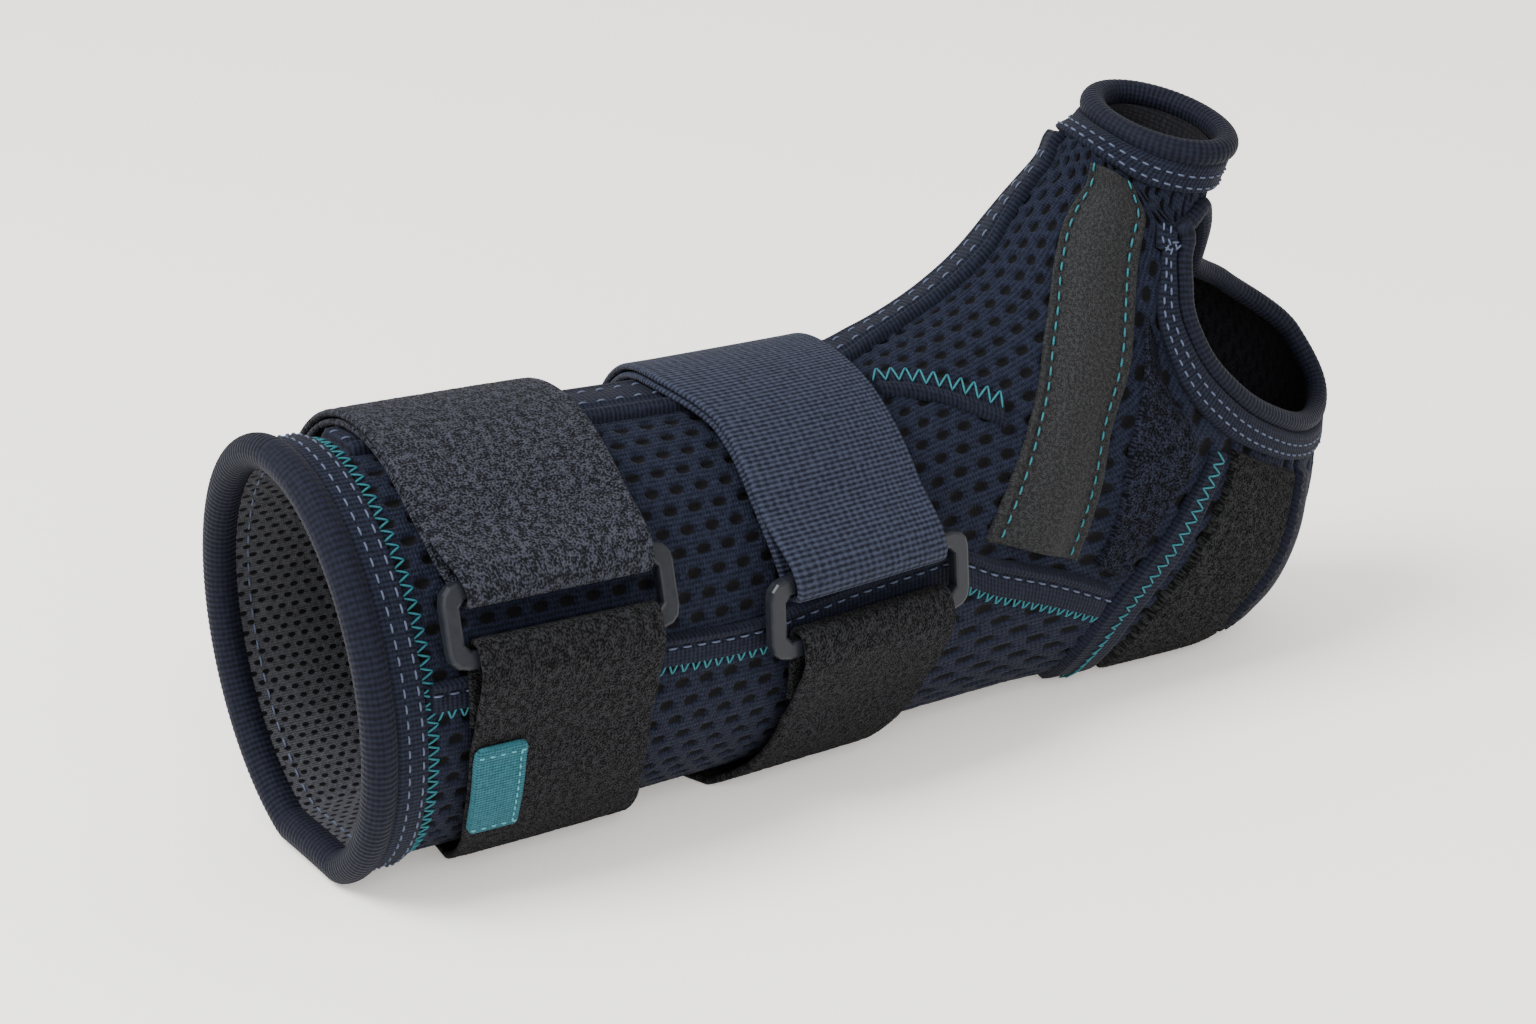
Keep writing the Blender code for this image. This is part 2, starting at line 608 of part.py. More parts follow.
def flat_plate(name, outlines, depth, edge, frame, look, group):
    """A plate from closed outlines, with rounded edges, placed by a frame."""
    curve = bpy.data.curves.new(name, "CURVE")
    curve.dimensions = "2D"
    curve.fill_mode = "BOTH"
    for outline in outlines:
        spline = curve.splines.new("POLY")
        spline.points.add(len(outline) - 1)
        for point, place in zip(spline.points, outline):
            point.co = (*place, 0.0, 1.0)
        spline.use_cyclic_u = True
    curve.extrude = depth / 2 - edge
    curve.bevel_depth = edge
    curve.bevel_resolution = 1
    curve.offset = -edge
    guide = bpy.data.objects.new(name + "_outline", curve)
    group.objects.link(guide)
    graph = bpy.context.evaluated_depsgraph_get()
    mesh = bpy.data.meshes.new_from_object(guide.evaluated_get(graph))
    bpy.data.objects.remove(guide, do_unlink=True)
    shape = bmesh.new()
    shape.from_mesh(mesh)
    bmesh.ops.remove_doubles(shape, verts=shape.verts, dist=WELD)
    bmesh.ops.recalc_face_normals(shape, faces=shape.faces)
    bmesh.ops.transform(shape, matrix=frame, verts=shape.verts)
    shape.to_mesh(mesh)
    shape.free()
    mesh.name = name
    mesh.materials.clear()
    mesh.materials.append(look)
    made = bpy.data.objects.new(name, mesh)
    group.objects.link(made)
    return made


def bar_angles(table, ring_angle):
    """Angles of the upper and the lower bar of a ring."""
    reach = (RING_HEIGHT - RING_BAR) / 2 / degree_length(table, ring_angle)
    return ring_angle - reach, ring_angle + reach


def ring_frame(table, ring_angle):
    """Frame of a ring with its bars in the folds of its straps: x along the bars, z away from the body."""
    ends = []
    for angle in bar_angles(table, ring_angle):
        left, right = strap_edges(table, angle)
        ends.append([Vector(body_point(station, angle, RING_LEVEL)) for station in (left, right)])
    (upper_left, upper_right), (lower_left, lower_right) = ends
    centre = (upper_left + upper_right + lower_left + lower_right) / 4
    x = (upper_right + lower_right - upper_left - lower_left).normalized()
    drop = lower_left + lower_right - upper_left - upper_right
    z = drop.cross(x).normalized()
    y = z.cross(x)
    frame = Matrix((x, y, z)).transposed().to_4x4()
    frame.translation = centre
    return frame


def ring(name, table, angle, look, group):
    outer = rounded_box(RING_SLOT + 2 * RING_BAR, RING_HEIGHT, RING_CORNER, RING_CORNER_POINTS)
    inner = rounded_box(RING_SLOT, RING_HEIGHT - 2 * RING_BAR, RING_EDGE * 2, SLOT_CORNER_POINTS)
    return flat_plate(name, (outer, inner), RING_DEPTH, RING_EDGE, ring_frame(table, angle), look, group)


def pull_tab(name, look, group):
    """A woven tab on the lower strap, along its left edge."""
    scale = degree_length(CUFF_STRAP, TAB_ANGLE)
    half = TAB_LENGTH / 2 / scale
    angles = np.linspace(TAB_ANGLE - half, TAB_ANGLE + half, TAB_ROWS)
    left, right = strap_edges(CUFF_STRAP, angles)
    width = np.linalg.norm(body_point(right, angles) - body_point(left, angles), axis=-1)
    reach = (right - left) * TAB_WIDTH / width
    share = np.linspace(0, 1, TAB_COLUMNS)[None, :]
    inset = np.zeros(TAB_ROWS)
    inset[0] = TAB_CORNER / TAB_WIDTH
    inset[-1] = TAB_CORNER / TAB_WIDTH
    station = left[:, None] + reach[:, None] * share * (1 - inset[:, None])
    below = onto_bar(LOWER_EASE, LOWER_ONTO_BAR, STRAP_RISE + STRAP / 2)[::-1]
    way = (angles - bar_angles(CUFF_STRAP, CUFF_RING_ANGLE)[1]) * scale
    rise = np.interp(way, [row[0] for row in below], [row[1] for row in below]) + STRAP / 2 + TAB_CLEARANCE
    points = body_point(station, angles[:, None], rise[:, None])
    made = add_mesh(name, points.reshape(-1, 3), grid_faces(TAB_ROWS, TAB_COLUMNS), group, look)
    face_outwards(made, points, body_point(station, angles[:, None], rise[:, None] + TAPE))
    return thicken(made, TAPE, True)


clear_scene()
splint = bpy.data.collections.new("thumb_spica_splint")
bpy.context.scene.collection.children.link(splint)
knit = material("knit", (0.035, 0.045, 0.085), 0.9)
hand_knit = material("hand_knit", (0.035, 0.045, 0.085), 0.9)
full_turn = np.linspace(0, 360, AROUND, endpoint=False)
opening_s, opening_a = opening_outline(OPENING_POINTS)

# Bindings: round cords along the three open rims
for rim_name, rim_points, rim_radius in (
    ("cuff_binding", body_point(0.0, full_turn, -BINDING_SINK), CUFF_BINDING),
    ("thumb_binding", body_point(LAST_STATION, full_turn, -BINDING_SINK), THUMB_BINDING),
    ("hand_opening_binding", body_point(opening_s, opening_a, -BINDING_SINK), HAND_BINDING),
):
    rim_look = material(rim_name, (0.04, 0.05, 0.09), 0.8)
    rest_on_floor(tube(rim_name, rim_points, rim_radius, splint, rim_look))

# Body: the forearm sleeve and the hand shell meet below the wrist strap, each clear of its bindings
cuff_edge = station_from_rim(0.0, full_turn, CUFF_BINDING + LAYER_GAP)
thumb_edge = THUMB_BINDING + LAYER_GAP
hand_edge = HAND_BINDING + LAYER_GAP
split = np.full(AROUND, SPLIT_STATION)
shell("forearm_sleeve", cuff_edge, split, FOREARM_ROWS, knit, splint)
hole = spread(opening_s, opening_a, hand_edge + WEB_EASE, OPENING_STEPS)
hand_start = SPLIT_STATION + SPLIT_STEP
opened_shell("hand_shell", hand_start, thumb_edge + THUMB_EASE, HAND_ROWS, hole, hand_knit, splint)

# Hems beside the bindings
cuff_look = material("cuff_hem", (0.045, 0.055, 0.10), 0.85)
cuff_in = (cuff_edge, full_turn)
cuff_out = (station_from_rim(0.0, full_turn, CUFF_BINDING + LAYER_GAP + CUFF_HEM), full_turn)
hem("cuff_hem", cuff_in, cuff_out, 2, TAPE_RISE, cuff_look, splint)
thumb_look = material("thumb_hem", (0.045, 0.055, 0.10), 0.85)
thumb_in = (station_from_rim(LAST_STATION, full_turn, thumb_edge), full_turn)
thumb_out = (station_from_rim(LAST_STATION, full_turn, thumb_edge + THUMB_HEM), full_turn)
hem("thumb_hem", thumb_out, thumb_in, 3, TAPE_RISE, thumb_look, splint)

hand_look = material("hand_hem", (0.045, 0.055, 0.10), 0.85)
start = int(np.argmax(opening_s))
turned = np.roll(opening_s, -start), np.roll(opening_a, -start)
hem_width = np.interp(turned[0], HAND_HEM_STATIONS, (HAND_HEM, HAND_HEM_NARROW))
hand_in = spread(*turned, hand_edge, OPENING_STEPS)
hand_out = spread(*turned, hand_edge + hem_width, OPENING_STEPS)
kept = turned[0] < np.where(turned[1] < 180, HAND_HEM_END, HAND_HEM_FAR_END)
inner_line = [v[kept] for v in hand_in]
outer_line = [v[kept] for v in hand_out]
hem("hand_hem", inner_line, outer_line, 2, HAND_HEM_RISE, hand_look, splint, closed=False)

# Tapes and panels over the knit
for panel_name, first_border, second_border, rows, columns, thickness, colour, roughness in PANELS:
    panel_look = material(panel_name, colour, roughness)
    panel(panel_name, first_border, second_border, rows, columns, thickness, TAPE_RISE, panel_look, splint)

# Strap closures
for side_name, side_table, side_angle in (
    ("cuff_strap", CUFF_STRAP, CUFF_RING_ANGLE),
    ("wrist_strap", WRIST_STRAP, WRIST_RING_ANGLE),
):
    over_look = material(side_name + "_over", (0.06, 0.065, 0.09), 0.95)
    upper_strap(side_name + "_upper", side_table, side_angle, over_look, splint)
    under_look = material(side_name + "_under", (0.03, 0.03, 0.035), 1.0)
    lower_strap(side_name + "_lower", side_table, side_angle, under_look, splint)
    ring_look = material(side_name + "_ring", (0.05, 0.055, 0.06), 0.4)
    ring(side_name + "_ring", side_table, side_angle, ring_look, splint)
tab_look = material("pull_tab", (0.06, 0.24, 0.28), 0.8)
pull_tab("pull_tab", tab_look, splint)
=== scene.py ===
"""Thumb spica splint: the knit, bindings, tapes, straps and stitches over the CAD nodes, in their frame."""

import bpy
import numpy as np
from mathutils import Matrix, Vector


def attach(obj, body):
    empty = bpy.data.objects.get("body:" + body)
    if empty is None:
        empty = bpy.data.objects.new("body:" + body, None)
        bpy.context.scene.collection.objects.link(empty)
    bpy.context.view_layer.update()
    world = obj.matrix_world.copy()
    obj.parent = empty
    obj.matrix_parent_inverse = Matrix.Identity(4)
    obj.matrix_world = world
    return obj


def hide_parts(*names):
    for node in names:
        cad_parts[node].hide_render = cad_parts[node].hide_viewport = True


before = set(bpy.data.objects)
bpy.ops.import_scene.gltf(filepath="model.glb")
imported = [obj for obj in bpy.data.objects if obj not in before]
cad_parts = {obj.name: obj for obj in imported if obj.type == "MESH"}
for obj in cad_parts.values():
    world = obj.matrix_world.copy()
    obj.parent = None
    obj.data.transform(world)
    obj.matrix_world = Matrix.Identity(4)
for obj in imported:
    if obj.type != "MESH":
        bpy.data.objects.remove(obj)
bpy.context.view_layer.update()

# Body surface
# Every cloth piece lies on one surface given by a station along the body, an angle round it and a height
# over it. Station 0 is the cuff rim and the last one the thumb rim; the near side is from 0 to 180 degrees.

# Overall sizes of the body, in metres
LENGTH = 0.227
HEIGHT = 0.112
CUFF_HALF_WIDTH = 0.0305
MIDDLE_X = 0.10673
MIDDLE_Y = -0.00236

# Layers stacked on the body, each with the clearance under it
LAYER_GAP = 0.0003
TAPE_RISE = 0.00045
TAPE = 0.001
STRAP = 0.0013
STRAP_RISE = TAPE_RISE + TAPE + LAYER_GAP
PLUSH = 0.0012

SECTION_COLUMNS = ("top_x", "top_z", "low_x", "low_z", "half_width", "lean", "aside")
SECTION_SIZES = (LENGTH, HEIGHT, LENGTH, HEIGHT, CUFF_HALF_WIDTH, 1.0, CUFF_HALF_WIDTH)
SECTIONS = (
    (-0.0220, 0.7080, -0.0044, 0.0254, 1.000, 0.0, 0.000),
    (0.1630, 0.6929, 0.1476, 0.0205, 1.000, 0.0, 0.000),
    (0.3392, 0.6750, 0.3216, 0.0205, 0.951, 0.0, 0.000),
    (0.4581, 0.6714, 0.4802, 0.0205, 0.869, 0.0, 0.000),
    (0.5115, 0.6937, 0.6167, 0.0205, 0.836, 0.0, 0.000),
    (0.5577, 0.7250, 0.7269, 0.0107, 0.859, 0.0, 0.000),
    (0.5930, 0.7598, 0.8238, 0.0062, 0.892, 0.0, 0.000),
    (0.6203, 0.7964, 0.9031, 0.0491, 0.902, 0.0, 0.000),
    (0.6405, 0.8339, 0.9530, 0.1652, 0.852, 0.0, 0.000),
    (0.6581, 0.8705, 0.9700, 0.2961, 0.765, 1.0, -0.008),
    (0.6744, 0.9045, 0.9720, 0.4212, 0.690, 2.0, -0.027),
    (0.6894, 0.9366, 0.9540, 0.5403, 0.616, 4.0, -0.048),
    (0.6960, 0.9690, 0.8835, 0.6531, 0.540, 6.0, -0.070),
    (0.7065, 0.9860, 0.8290, 0.7324, 0.460, 8.0, -0.085),
    (0.7220, 0.9890, 0.8230, 0.8369, 0.445, 9.0, -0.100),
    (0.7368, 0.9955, 0.8405, 0.9710, 0.485, 10.2, -0.115),
)
LAST_STATION = float(len(SECTIONS) - 1)
RIM_SAMPLES = 400

# How far the body is pressed onto the floor, and how high it lies over it below each layer, by station
REST_PRESS = 0.0018
REST_STATIONS = (0.0, 3.3, 4.4, LAST_STATION)
REST_LEVELS = (STRAP_RISE + STRAP, STRAP_RISE + STRAP, TAPE_RISE + PLUSH, TAPE_RISE + PLUSH)


def along(values, place):
    """Monotone cubic curve through evenly spaced values, read at a place counted in steps."""
    values = np.asarray(values, float)
    steps = np.diff(values)
    before = steps[:-1]
    after = steps[1:]
    same_way = before * after > 0
    total = np.where(same_way, before + after, 1.0)
    inner = np.where(same_way, 2 * before * after / total, 0.0)
    first = (3 * steps[0] - before[1] if len(steps) > 2 else 2 * steps[0]) / 2
    slopes = np.concatenate([[first], inner, [steps[-1]]])
    place = np.clip(np.asarray(place, float), 0, len(values) - 1)
    low = np.minimum(place.astype(int), len(values) - 2)
    part = place - low
    rest = 1 - part
    ends = values[low] * (1 + 2 * part) * rest**2 + values[low + 1] * part**2 * (3 - 2 * part)
    return ends + slopes[low] * part * rest**2 - slopes[low + 1] * part**2 * rest


def body_point(station, angle, height=0.0):
    """Point over the body: station along it, angle in degrees from the upper crest over the near side."""
    station, angle, height = np.broadcast_arrays(station, angle, height)
    column = {
        name: along([row[i] for row in SECTIONS], station) * SECTION_SIZES[i]
        for i, name in enumerate(SECTION_COLUMNS)
    }
    top = np.stack([column["top_x"], column["top_z"]], -1)
    low = np.stack([column["low_x"], column["low_z"]], -1)
    middle = (top + low) / 2
    half = (top - low) / 2
    reach = np.linalg.norm(half, axis=-1)
    turn = np.radians(angle)
    up = (reach + height) * np.cos(turn)
    side = -(column["half_width"] + height) * np.sin(turn)
    lean = np.radians(column["lean"])
    x = middle[..., 0] + half[..., 0] / reach * up
    y = column["aside"] + side * np.cos(lean)
    z = middle[..., 1] + half[..., 1] / reach * up + side * np.sin(lean) - REST_PRESS
    floor = np.interp(station, REST_STATIONS, REST_LEVELS) - height
    return np.stack([x - MIDDLE_X, y - MIDDLE_Y, np.maximum(z, floor)], -1)


def travelled(points):
    """Distance along a line of points from its first one: the running sum of the lengths of its steps."""
    gone = np.linalg.norm(np.diff(points, axis=0), axis=-1).cumsum(axis=0)
    return np.concatenate([np.zeros_like(gone[:1]), gone])


def station_from_rim(rim, angle, distance):
    """Station that lies a distance along the cloth from a rim station, at each angle: the distance
    travelled inwards from the rim, read backwards."""
    inward = 1 if rim < LAST_STATION / 2 else -1
    stations = rim + inward * np.linspace(0, LAST_STATION / 2, RIM_SAMPLES)
    gone = travelled(body_point(stations[:, None], np.asarray(angle)[None, :]))
    return np.array([np.interp(distance, line, stations) for line in gone.T])


# Knit of the forearm
# An outer knit with staggered oval eyelets, sunk into its face, over a charcoal perforated lining. The
# layout counts eyelets along the body in u and rows of them round it in v.
WALL = 0.0026
CUFF_BINDING = 0.0031
SPLIT_STATION = 2.55
SEAM_ANGLE = 240.0
KNIT_STEP = 0.00055
FOREARM_COLUMNS = 381
LINING_STRETCH = (1.9, 2.0)

# Pitch of the eyelets along the body, rows of them round it, and their half sizes in shares of a pitch
EYELET_PITCH = 0.0052
EYELET_ROWS = 58
EYELET_HALF = (0.31, 0.27)
EYELET_SHADE_FADE = (0.78, 1.08)
RIBS_TO_ROW = 4
LOOPS_TO_PITCH = 8
COUNTING_ANGLE = 60.0
COUNTING_SAMPLES = 600

# Profile of an eyelet, its reaches in shares of its half size: the sunk floor, the wall and the raised lip
EYELET_DEPTH = 0.0009
EYELET_WALL_END = 1.15
EYELET_WALL_WIDTH = 0.45
EYELET_LIP = 0.00012
EYELET_LIP_REACH = 1.35
EYELET_LIP_WIDTH = 0.25

# The knit reaches this share of a roll's radius in under the roll
UNDER_ROLL = 0.6

# Small step away from the cloth that tells which way is outwards
PROBE = 0.001

# Shading of every cloth: its faint gloss, the painted shade inside a hole, and the scale of the mottling
CLOTH_SHADER = {"Specular IOR Level": 0.09, "Sheen Weight": 0.02, "Sheen Roughness": 0.5}
# Painted shade: near-black put into each eyelet for the shadow down the hole, which is sunk, not cut through
HOLE_SHADE_COLOUR = (0.004, 0.004, 0.005, 1.0)
MOTTLE_SCALE = 1400.0


def grid_object(name, grids, look):
    """One mesh of several grids of points. Face (i, j) joins points (i, j), (i, j+1), (i+1, j+1) and
    (i+1, j), turned to look towards the outer points, and is left out where kept[i, j] is false."""
    places, layouts, quads, first = [], [], [], 0
    for points, outer, layout, kept in grids:
        rows, columns = points.shape[:2]
        index = np.arange(rows * columns).reshape(rows, columns) + first
        quad = np.stack([index[:-1, :-1], index[:-1, 1:], index[1:, 1:], index[1:, :-1]], -1)
        corner = points[:-1, :-1]
        normal = np.cross(points[:-1, 1:] - corner, points[1:, :-1] - corner)
        if (normal * (outer - points)[:-1, :-1]).sum() < 0:
            quad = quad[..., ::-1]
        quads.append(quad[kept] if kept is not None else quad.reshape(-1, 4))
        places.append(points.reshape(-1, 3))
        layouts.append(np.broadcast_to(layout, (rows, columns, 2)).reshape(-1, 2))
        first += rows * columns
    quads = np.concatenate(quads)
    used, quads = np.unique(quads, return_inverse=True)
    quads = quads.reshape(-1, 4)
    places = np.concatenate(places)[used]
    layouts = np.concatenate(layouts)[used]
    return mesh_object(name, places, quads, look, layouts)


def mesh_object(name, points, faces, look, layout=None):
    """A smooth mesh from numpy points and faces, kept over the floor, with its layout as the UV map."""
    points = points * 1.0
    points[:, 2] = np.maximum(points[:, 2], 0.0)
    mesh = bpy.data.meshes.new(name)
    mesh.from_pydata(points.tolist(), [], [tuple(face) for face in np.asarray(faces).tolist()])
    if layout is not None:
        corners = np.empty(len(mesh.loops), np.int32)
        mesh.loops.foreach_get("vertex_index", corners)
        at_corners = layout[corners].astype(np.float32).ravel()
        mesh.uv_layers.new(name="layout").uv.foreach_set("vector", at_corners)
    mesh.shade_smooth()
    mesh.materials.append(look)
    made = bpy.data.objects.new(name, mesh)
    bpy.context.scene.collection.objects.link(made)
    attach(made, "root")
    return made


def stands_for(piece, *nodes):
    """The piece replaces its CAD nodes, which are hidden."""
    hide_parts(*nodes)
    return piece


def maths(tree, operation, *values):
    """A math node with each value a number or a socket; returns its result."""
    made = tree.nodes.new("ShaderNodeMath")
    made.operation = operation
    for place, value in zip(made.inputs, values):
        if isinstance(value, bpy.types.NodeSocket):
            tree.links.new(value, place)
        else:
            place.default_value = value
    return made.outputs[0]


def relief_group(name):
    """A node group from a layout to a relief from 0 to 1 and a mask of the holes, where shade is painted;
    returns it with its ends.
    """
    tree = bpy.data.node_groups.new(name, "ShaderNodeTree")
    tree.interface.new_socket("Layout", in_out="INPUT", socket_type="NodeSocketVector")
    for output in ("Relief", "HoleShade"):
        tree.interface.new_socket(output, in_out="OUTPUT", socket_type="NodeSocketFloat")
    ends = tree.nodes.new("NodeGroupInput"), tree.nodes.new("NodeGroupOutput")
    split = tree.nodes.new("ShaderNodeSeparateXYZ")
    tree.links.new(ends[0].outputs[0], split.inputs[0])
    return tree, split.outputs[0], split.outputs[1], ends[0].outputs[0], ends[1]


def noise_node(tree, vector, scale, detail):
    """Noise value at a scale over a vector."""
    made = tree.nodes.new("ShaderNodeTexNoise")
    made.inputs["Scale"].default_value = scale
    made.inputs["Detail"].default_value = detail
    tree.links.new(vector, made.inputs["Vector"])
    return made.outputs[0]


def eyelet_relief():
    """Eyelets at whole numbers of u and v, every second row half a pitch on, with fine ribs between: the
    shade painted in the hole fades out over the reach, and the ribs are a sine of v and a sine of u
    shifted by it."""
    tree, u, v, _, end = relief_group("eyelet knit")
    row = maths(tree, "ROUND", v)
    odd = maths(tree, "PINGPONG", row, 1.0)
    shifted = maths(tree, "MULTIPLY_ADD", odd, 0.5, u)
    from_middle = maths(tree, "SUBTRACT", shifted, maths(tree, "ROUND", shifted))
    du = maths(tree, "DIVIDE", from_middle, EYELET_HALF[0])
    dv = maths(tree, "DIVIDE", maths(tree, "SUBTRACT", v, row), EYELET_HALF[1])
    squares = maths(tree, "ADD", maths(tree, "MULTIPLY", du, du), maths(tree, "MULTIPLY", dv, dv))
    reach = maths(tree, "SQRT", squares)
    # Painted shade: the mask of the near-black in each hole, fading out over the reach
    hole = tree.nodes.new("ShaderNodeMapRange")
    hole.interpolation_type = "SMOOTHSTEP"
    tree.links.new(reach, hole.inputs["Value"])
    for place, value in zip(("From Min", "From Max", "To Min", "To Max"), (*EYELET_SHADE_FADE, 1.0, 0.0)):
        hole.inputs[place].default_value = value
    rib = maths(tree, "SINE", maths(tree, "MULTIPLY", v, 2 * np.pi * RIBS_TO_ROW))
    loop = maths(tree, "SINE", maths(tree, "MULTIPLY_ADD", u, 2 * np.pi * LOOPS_TO_PITCH, rib))
    mixed = maths(tree, "MULTIPLY_ADD", loop, 0.12, maths(tree, "MULTIPLY_ADD", rib, 0.12, 0.5))
    tree.links.new(mixed, end.inputs["Relief"])
    tree.links.new(hole.outputs[0], end.inputs["HoleShade"])
    return tree


def new_look(name, settings):
    """A material with its shader's inputs set by name; returns it, its node tree and the shader."""
    look = bpy.data.materials.new(name)
    look.use_nodes = True
    shader = look.node_tree.nodes["Principled BSDF"]
    for socket, value in settings.items():
        shader.inputs[socket].default_value = value
    return look, look.node_tree, shader


def colour_ramp(tree, value, dark, light, start=0.0, end=1.0):
    """A colour that runs from dark to light as a value runs from start to end."""
    ramp = tree.nodes.new("ShaderNodeValToRGB")
    for i, (colour, place) in enumerate(((dark, start), (light, end))):
        ramp.color_ramp.elements[i].color = (*colour, 1.0)
        ramp.color_ramp.elements[i].position = place
    tree.links.new(value, ramp.inputs["Fac"])
    return ramp.outputs["Color"]


def cloth_look(name, relief, dark, light, roughness, depth, spots=0.35):
    """Cloth whose colour and bump follow a relief group over its layout, mottled by a fine noise, with
    shade painted near-black into the relief's holes.
    """
    look, tree, shader = new_look(name, {"Roughness": roughness, **CLOTH_SHADER})
    layout = tree.nodes.new("ShaderNodeUVMap")
    layout.uv_map = "layout"
    group = tree.nodes.new("ShaderNodeGroup")
    group.node_tree = relief
    tree.links.new(layout.outputs[0], group.inputs["Layout"])
    place = tree.nodes.new("ShaderNodeTexCoord").outputs["Object"]
    mottle = maths(tree, "SUBTRACT", noise_node(tree, place, MOTTLE_SCALE, 1.0), 0.5)
    level = maths(tree, "MULTIPLY_ADD", mottle, spots * 2, group.outputs["Relief"])
    mix = tree.nodes.new("ShaderNodeMix")
    mix.data_type = "RGBA"
    # Painted shade: near-black mixed in where the relief marks a hole
    mix.inputs[7].default_value = HOLE_SHADE_COLOUR
    tree.links.new(group.outputs["HoleShade"], mix.inputs[0])
    tree.links.new(colour_ramp(tree, level, dark, light, 0.2, 0.85), mix.inputs[6])
    tree.links.new(mix.outputs[2], shader.inputs["Base Color"])
    bump = tree.nodes.new("ShaderNodeBump")
    bump.inputs["Strength"].default_value = 0.8
    bump.inputs["Distance"].default_value = depth
    tree.links.new(level, bump.inputs["Height"])
    tree.links.new(bump.outputs[0], shader.inputs["Normal"])
    return look


def knit_layout(station, angle):
    """Eyelets along the body as u, counted along one line over it, and rows of them round it as v."""
    fine = np.linspace(0, LAST_STATION, COUNTING_SAMPLES)
    u = np.interp(station, fine, travelled(body_point(fine, COUNTING_ANGLE))) / EYELET_PITCH
    return np.stack(np.broadcast_arrays(u, angle * EYELET_ROWS / 360), -1)


def eyelet_height(layout):
    """Height of the knit face: sunk inside each eyelet by a smooth step over the reach from its middle,
    and raised round it by a bell curve."""
    row = np.round(layout[..., 1])
    shifted = layout[..., 0] + np.mod(row, 2) / 2
    du = (shifted - np.round(shifted)) / EYELET_HALF[0]
    dv = (layout[..., 1] - row) / EYELET_HALF[1]
    reach = np.hypot(du, dv)
    inside = np.clip((EYELET_WALL_END - reach) / EYELET_WALL_WIDTH, 0, 1)
    inside = inside**2 * (3 - 2 * inside)
    lip = EYELET_LIP * np.exp(-(((reach - EYELET_LIP_REACH) / EYELET_LIP_WIDTH) ** 2))
    return lip - EYELET_DEPTH * inside


def inside_outline(x, y, outline_x, outline_y):
    """Which points lie inside a closed outline, by counting its crossings."""
    x = np.asarray(x)[..., None]
    y = np.asarray(y)[..., None]
    x2 = np.roll(outline_x, -1)
    y2 = np.roll(outline_y, -1)
    crosses = (outline_y > y) != (y2 > y)
    at = outline_x + (y - outline_y) / np.where(y2 == outline_y, 1.0, y2 - outline_y) * (x2 - outline_x)
    return (crosses & (x < at)).sum(axis=-1) % 2 == 1


def faces_outside(station, angle, outline):
    """Which faces of a grid have their middle outside a closed outline, or None where there isn't one."""
    if outline is None:
        return None
    middle = [(value[:-1, :-1] + value[1:, 1:]) / 2 for value in (station, angle)]
    return ~inside_outline(*middle, *outline)


def cloth_grid(station, angle, height, layout, kept=None, outward=PROBE):
    """A grid for grid_object at a height over the body, facing the way of a small step outward."""
    return body_point(station, angle, height), body_point(station, angle, height + outward), layout, kept


def knit_grids(start, end, step, outline=None):
    """Outer knit face and lining between two rows of stations, both given at evenly spaced angles. The
    lining takes every second point, a wall's thickness further in, and faces the inside."""
    angle = np.linspace(SEAM_ANGLE - 360, SEAM_ANGLE, len(start))
    length = np.linalg.norm(body_point(start, angle) - body_point(end, angle), axis=-1).max()
    share = np.linspace(0, 1, int(length / step))[:, None]
    station = start[None, :] * (1 - share) + end[None, :] * share
    angle = np.broadcast_to(angle, station.shape)
    layout = knit_layout(station, angle)
    kept = faces_outside(station, angle, outline)
    face = cloth_grid(station, angle, eyelet_height(layout), layout, kept)
    station, angle, layout = station[::2, ::2], angle[::2, ::2], layout[::2, ::2] * LINING_STRETCH
    kept = faces_outside(station, angle, outline)
    return face, cloth_grid(station, angle, -WALL, layout, kept, -PROBE)


# The eyelet relief carries painted shade: both knits get near-black in every eyelet
eyelets = eyelet_relief()
knit_look = cloth_look("knit", eyelets, (0.0016, 0.0023, 0.0060), (0.0125, 0.0160, 0.0320), 0.85, 0.00035)
lining_look = cloth_look("lining", eyelets, (0.022, 0.022, 0.026), (0.085, 0.088, 0.100), 0.9, 0.0003)
forearm_angles = np.linspace(SEAM_ANGLE - 360, SEAM_ANGLE, FOREARM_COLUMNS)
cuff_edge = station_from_rim(0.0, forearm_angles, CUFF_BINDING * UNDER_ROLL)
forearm_end = np.full(FOREARM_COLUMNS, SPLIT_STATION)
forearm_face, forearm_inside = knit_grids(cuff_edge, forearm_end, KNIT_STEP)
stands_for(grid_object("forearm_knit", [forearm_face], knit_look), "forearm_sleeve")
grid_object("forearm_lining", [forearm_inside], lining_look)

# Hand shell
# The same knit from the wrist to the thumb rim, over the same lining painted darker, as painted shade
# inside the hand. Both are left open inside the hand opening's outline.

# Rows of station and angle round the hand opening
OPENING = (
    (11.79, 190), (12.46, 184), (13.23, 165), (13.75, 139), (13.80, 111), (11.38, 69), (9.66, 67),
    (8.73, 76), (8.57, 91), (8.86, 110), (9.33, 130), (9.93, 151), (10.62, 170), (11.26, 184),
)
OPENING_POINTS = 161
OPENING_FINE = 400
OPENING_STEPS = 3
MOUTH_CLEARANCE = 0.0008
THUMB_BINDING = 0.0024
HAND_COLUMNS = 361
HAND_STEP = KNIT_STEP * 1.25


def opening_outline(points):
    """Stations and angles of the hand opening: a closed cubic through its table, whose direction at each
    row is that of the line between the rows beside it."""
    rows = np.array(OPENING)
    place = np.linspace(0, len(rows), OPENING_FINE, endpoint=False)
    row = place.astype(int)
    part = (place - row)[:, None]
    before, here, after, later = (rows[(row + step) % len(rows)] for step in (-1, 0, 1, 2))
    linear = (after - before) / 2 * part
    square = (before - 2.5 * here + 2 * after - later / 2) * part**2
    cube = (1.5 * (here - after) + (later - before) / 2) * part**3
    return even_loop(*(here + linear + square + cube).T, points)


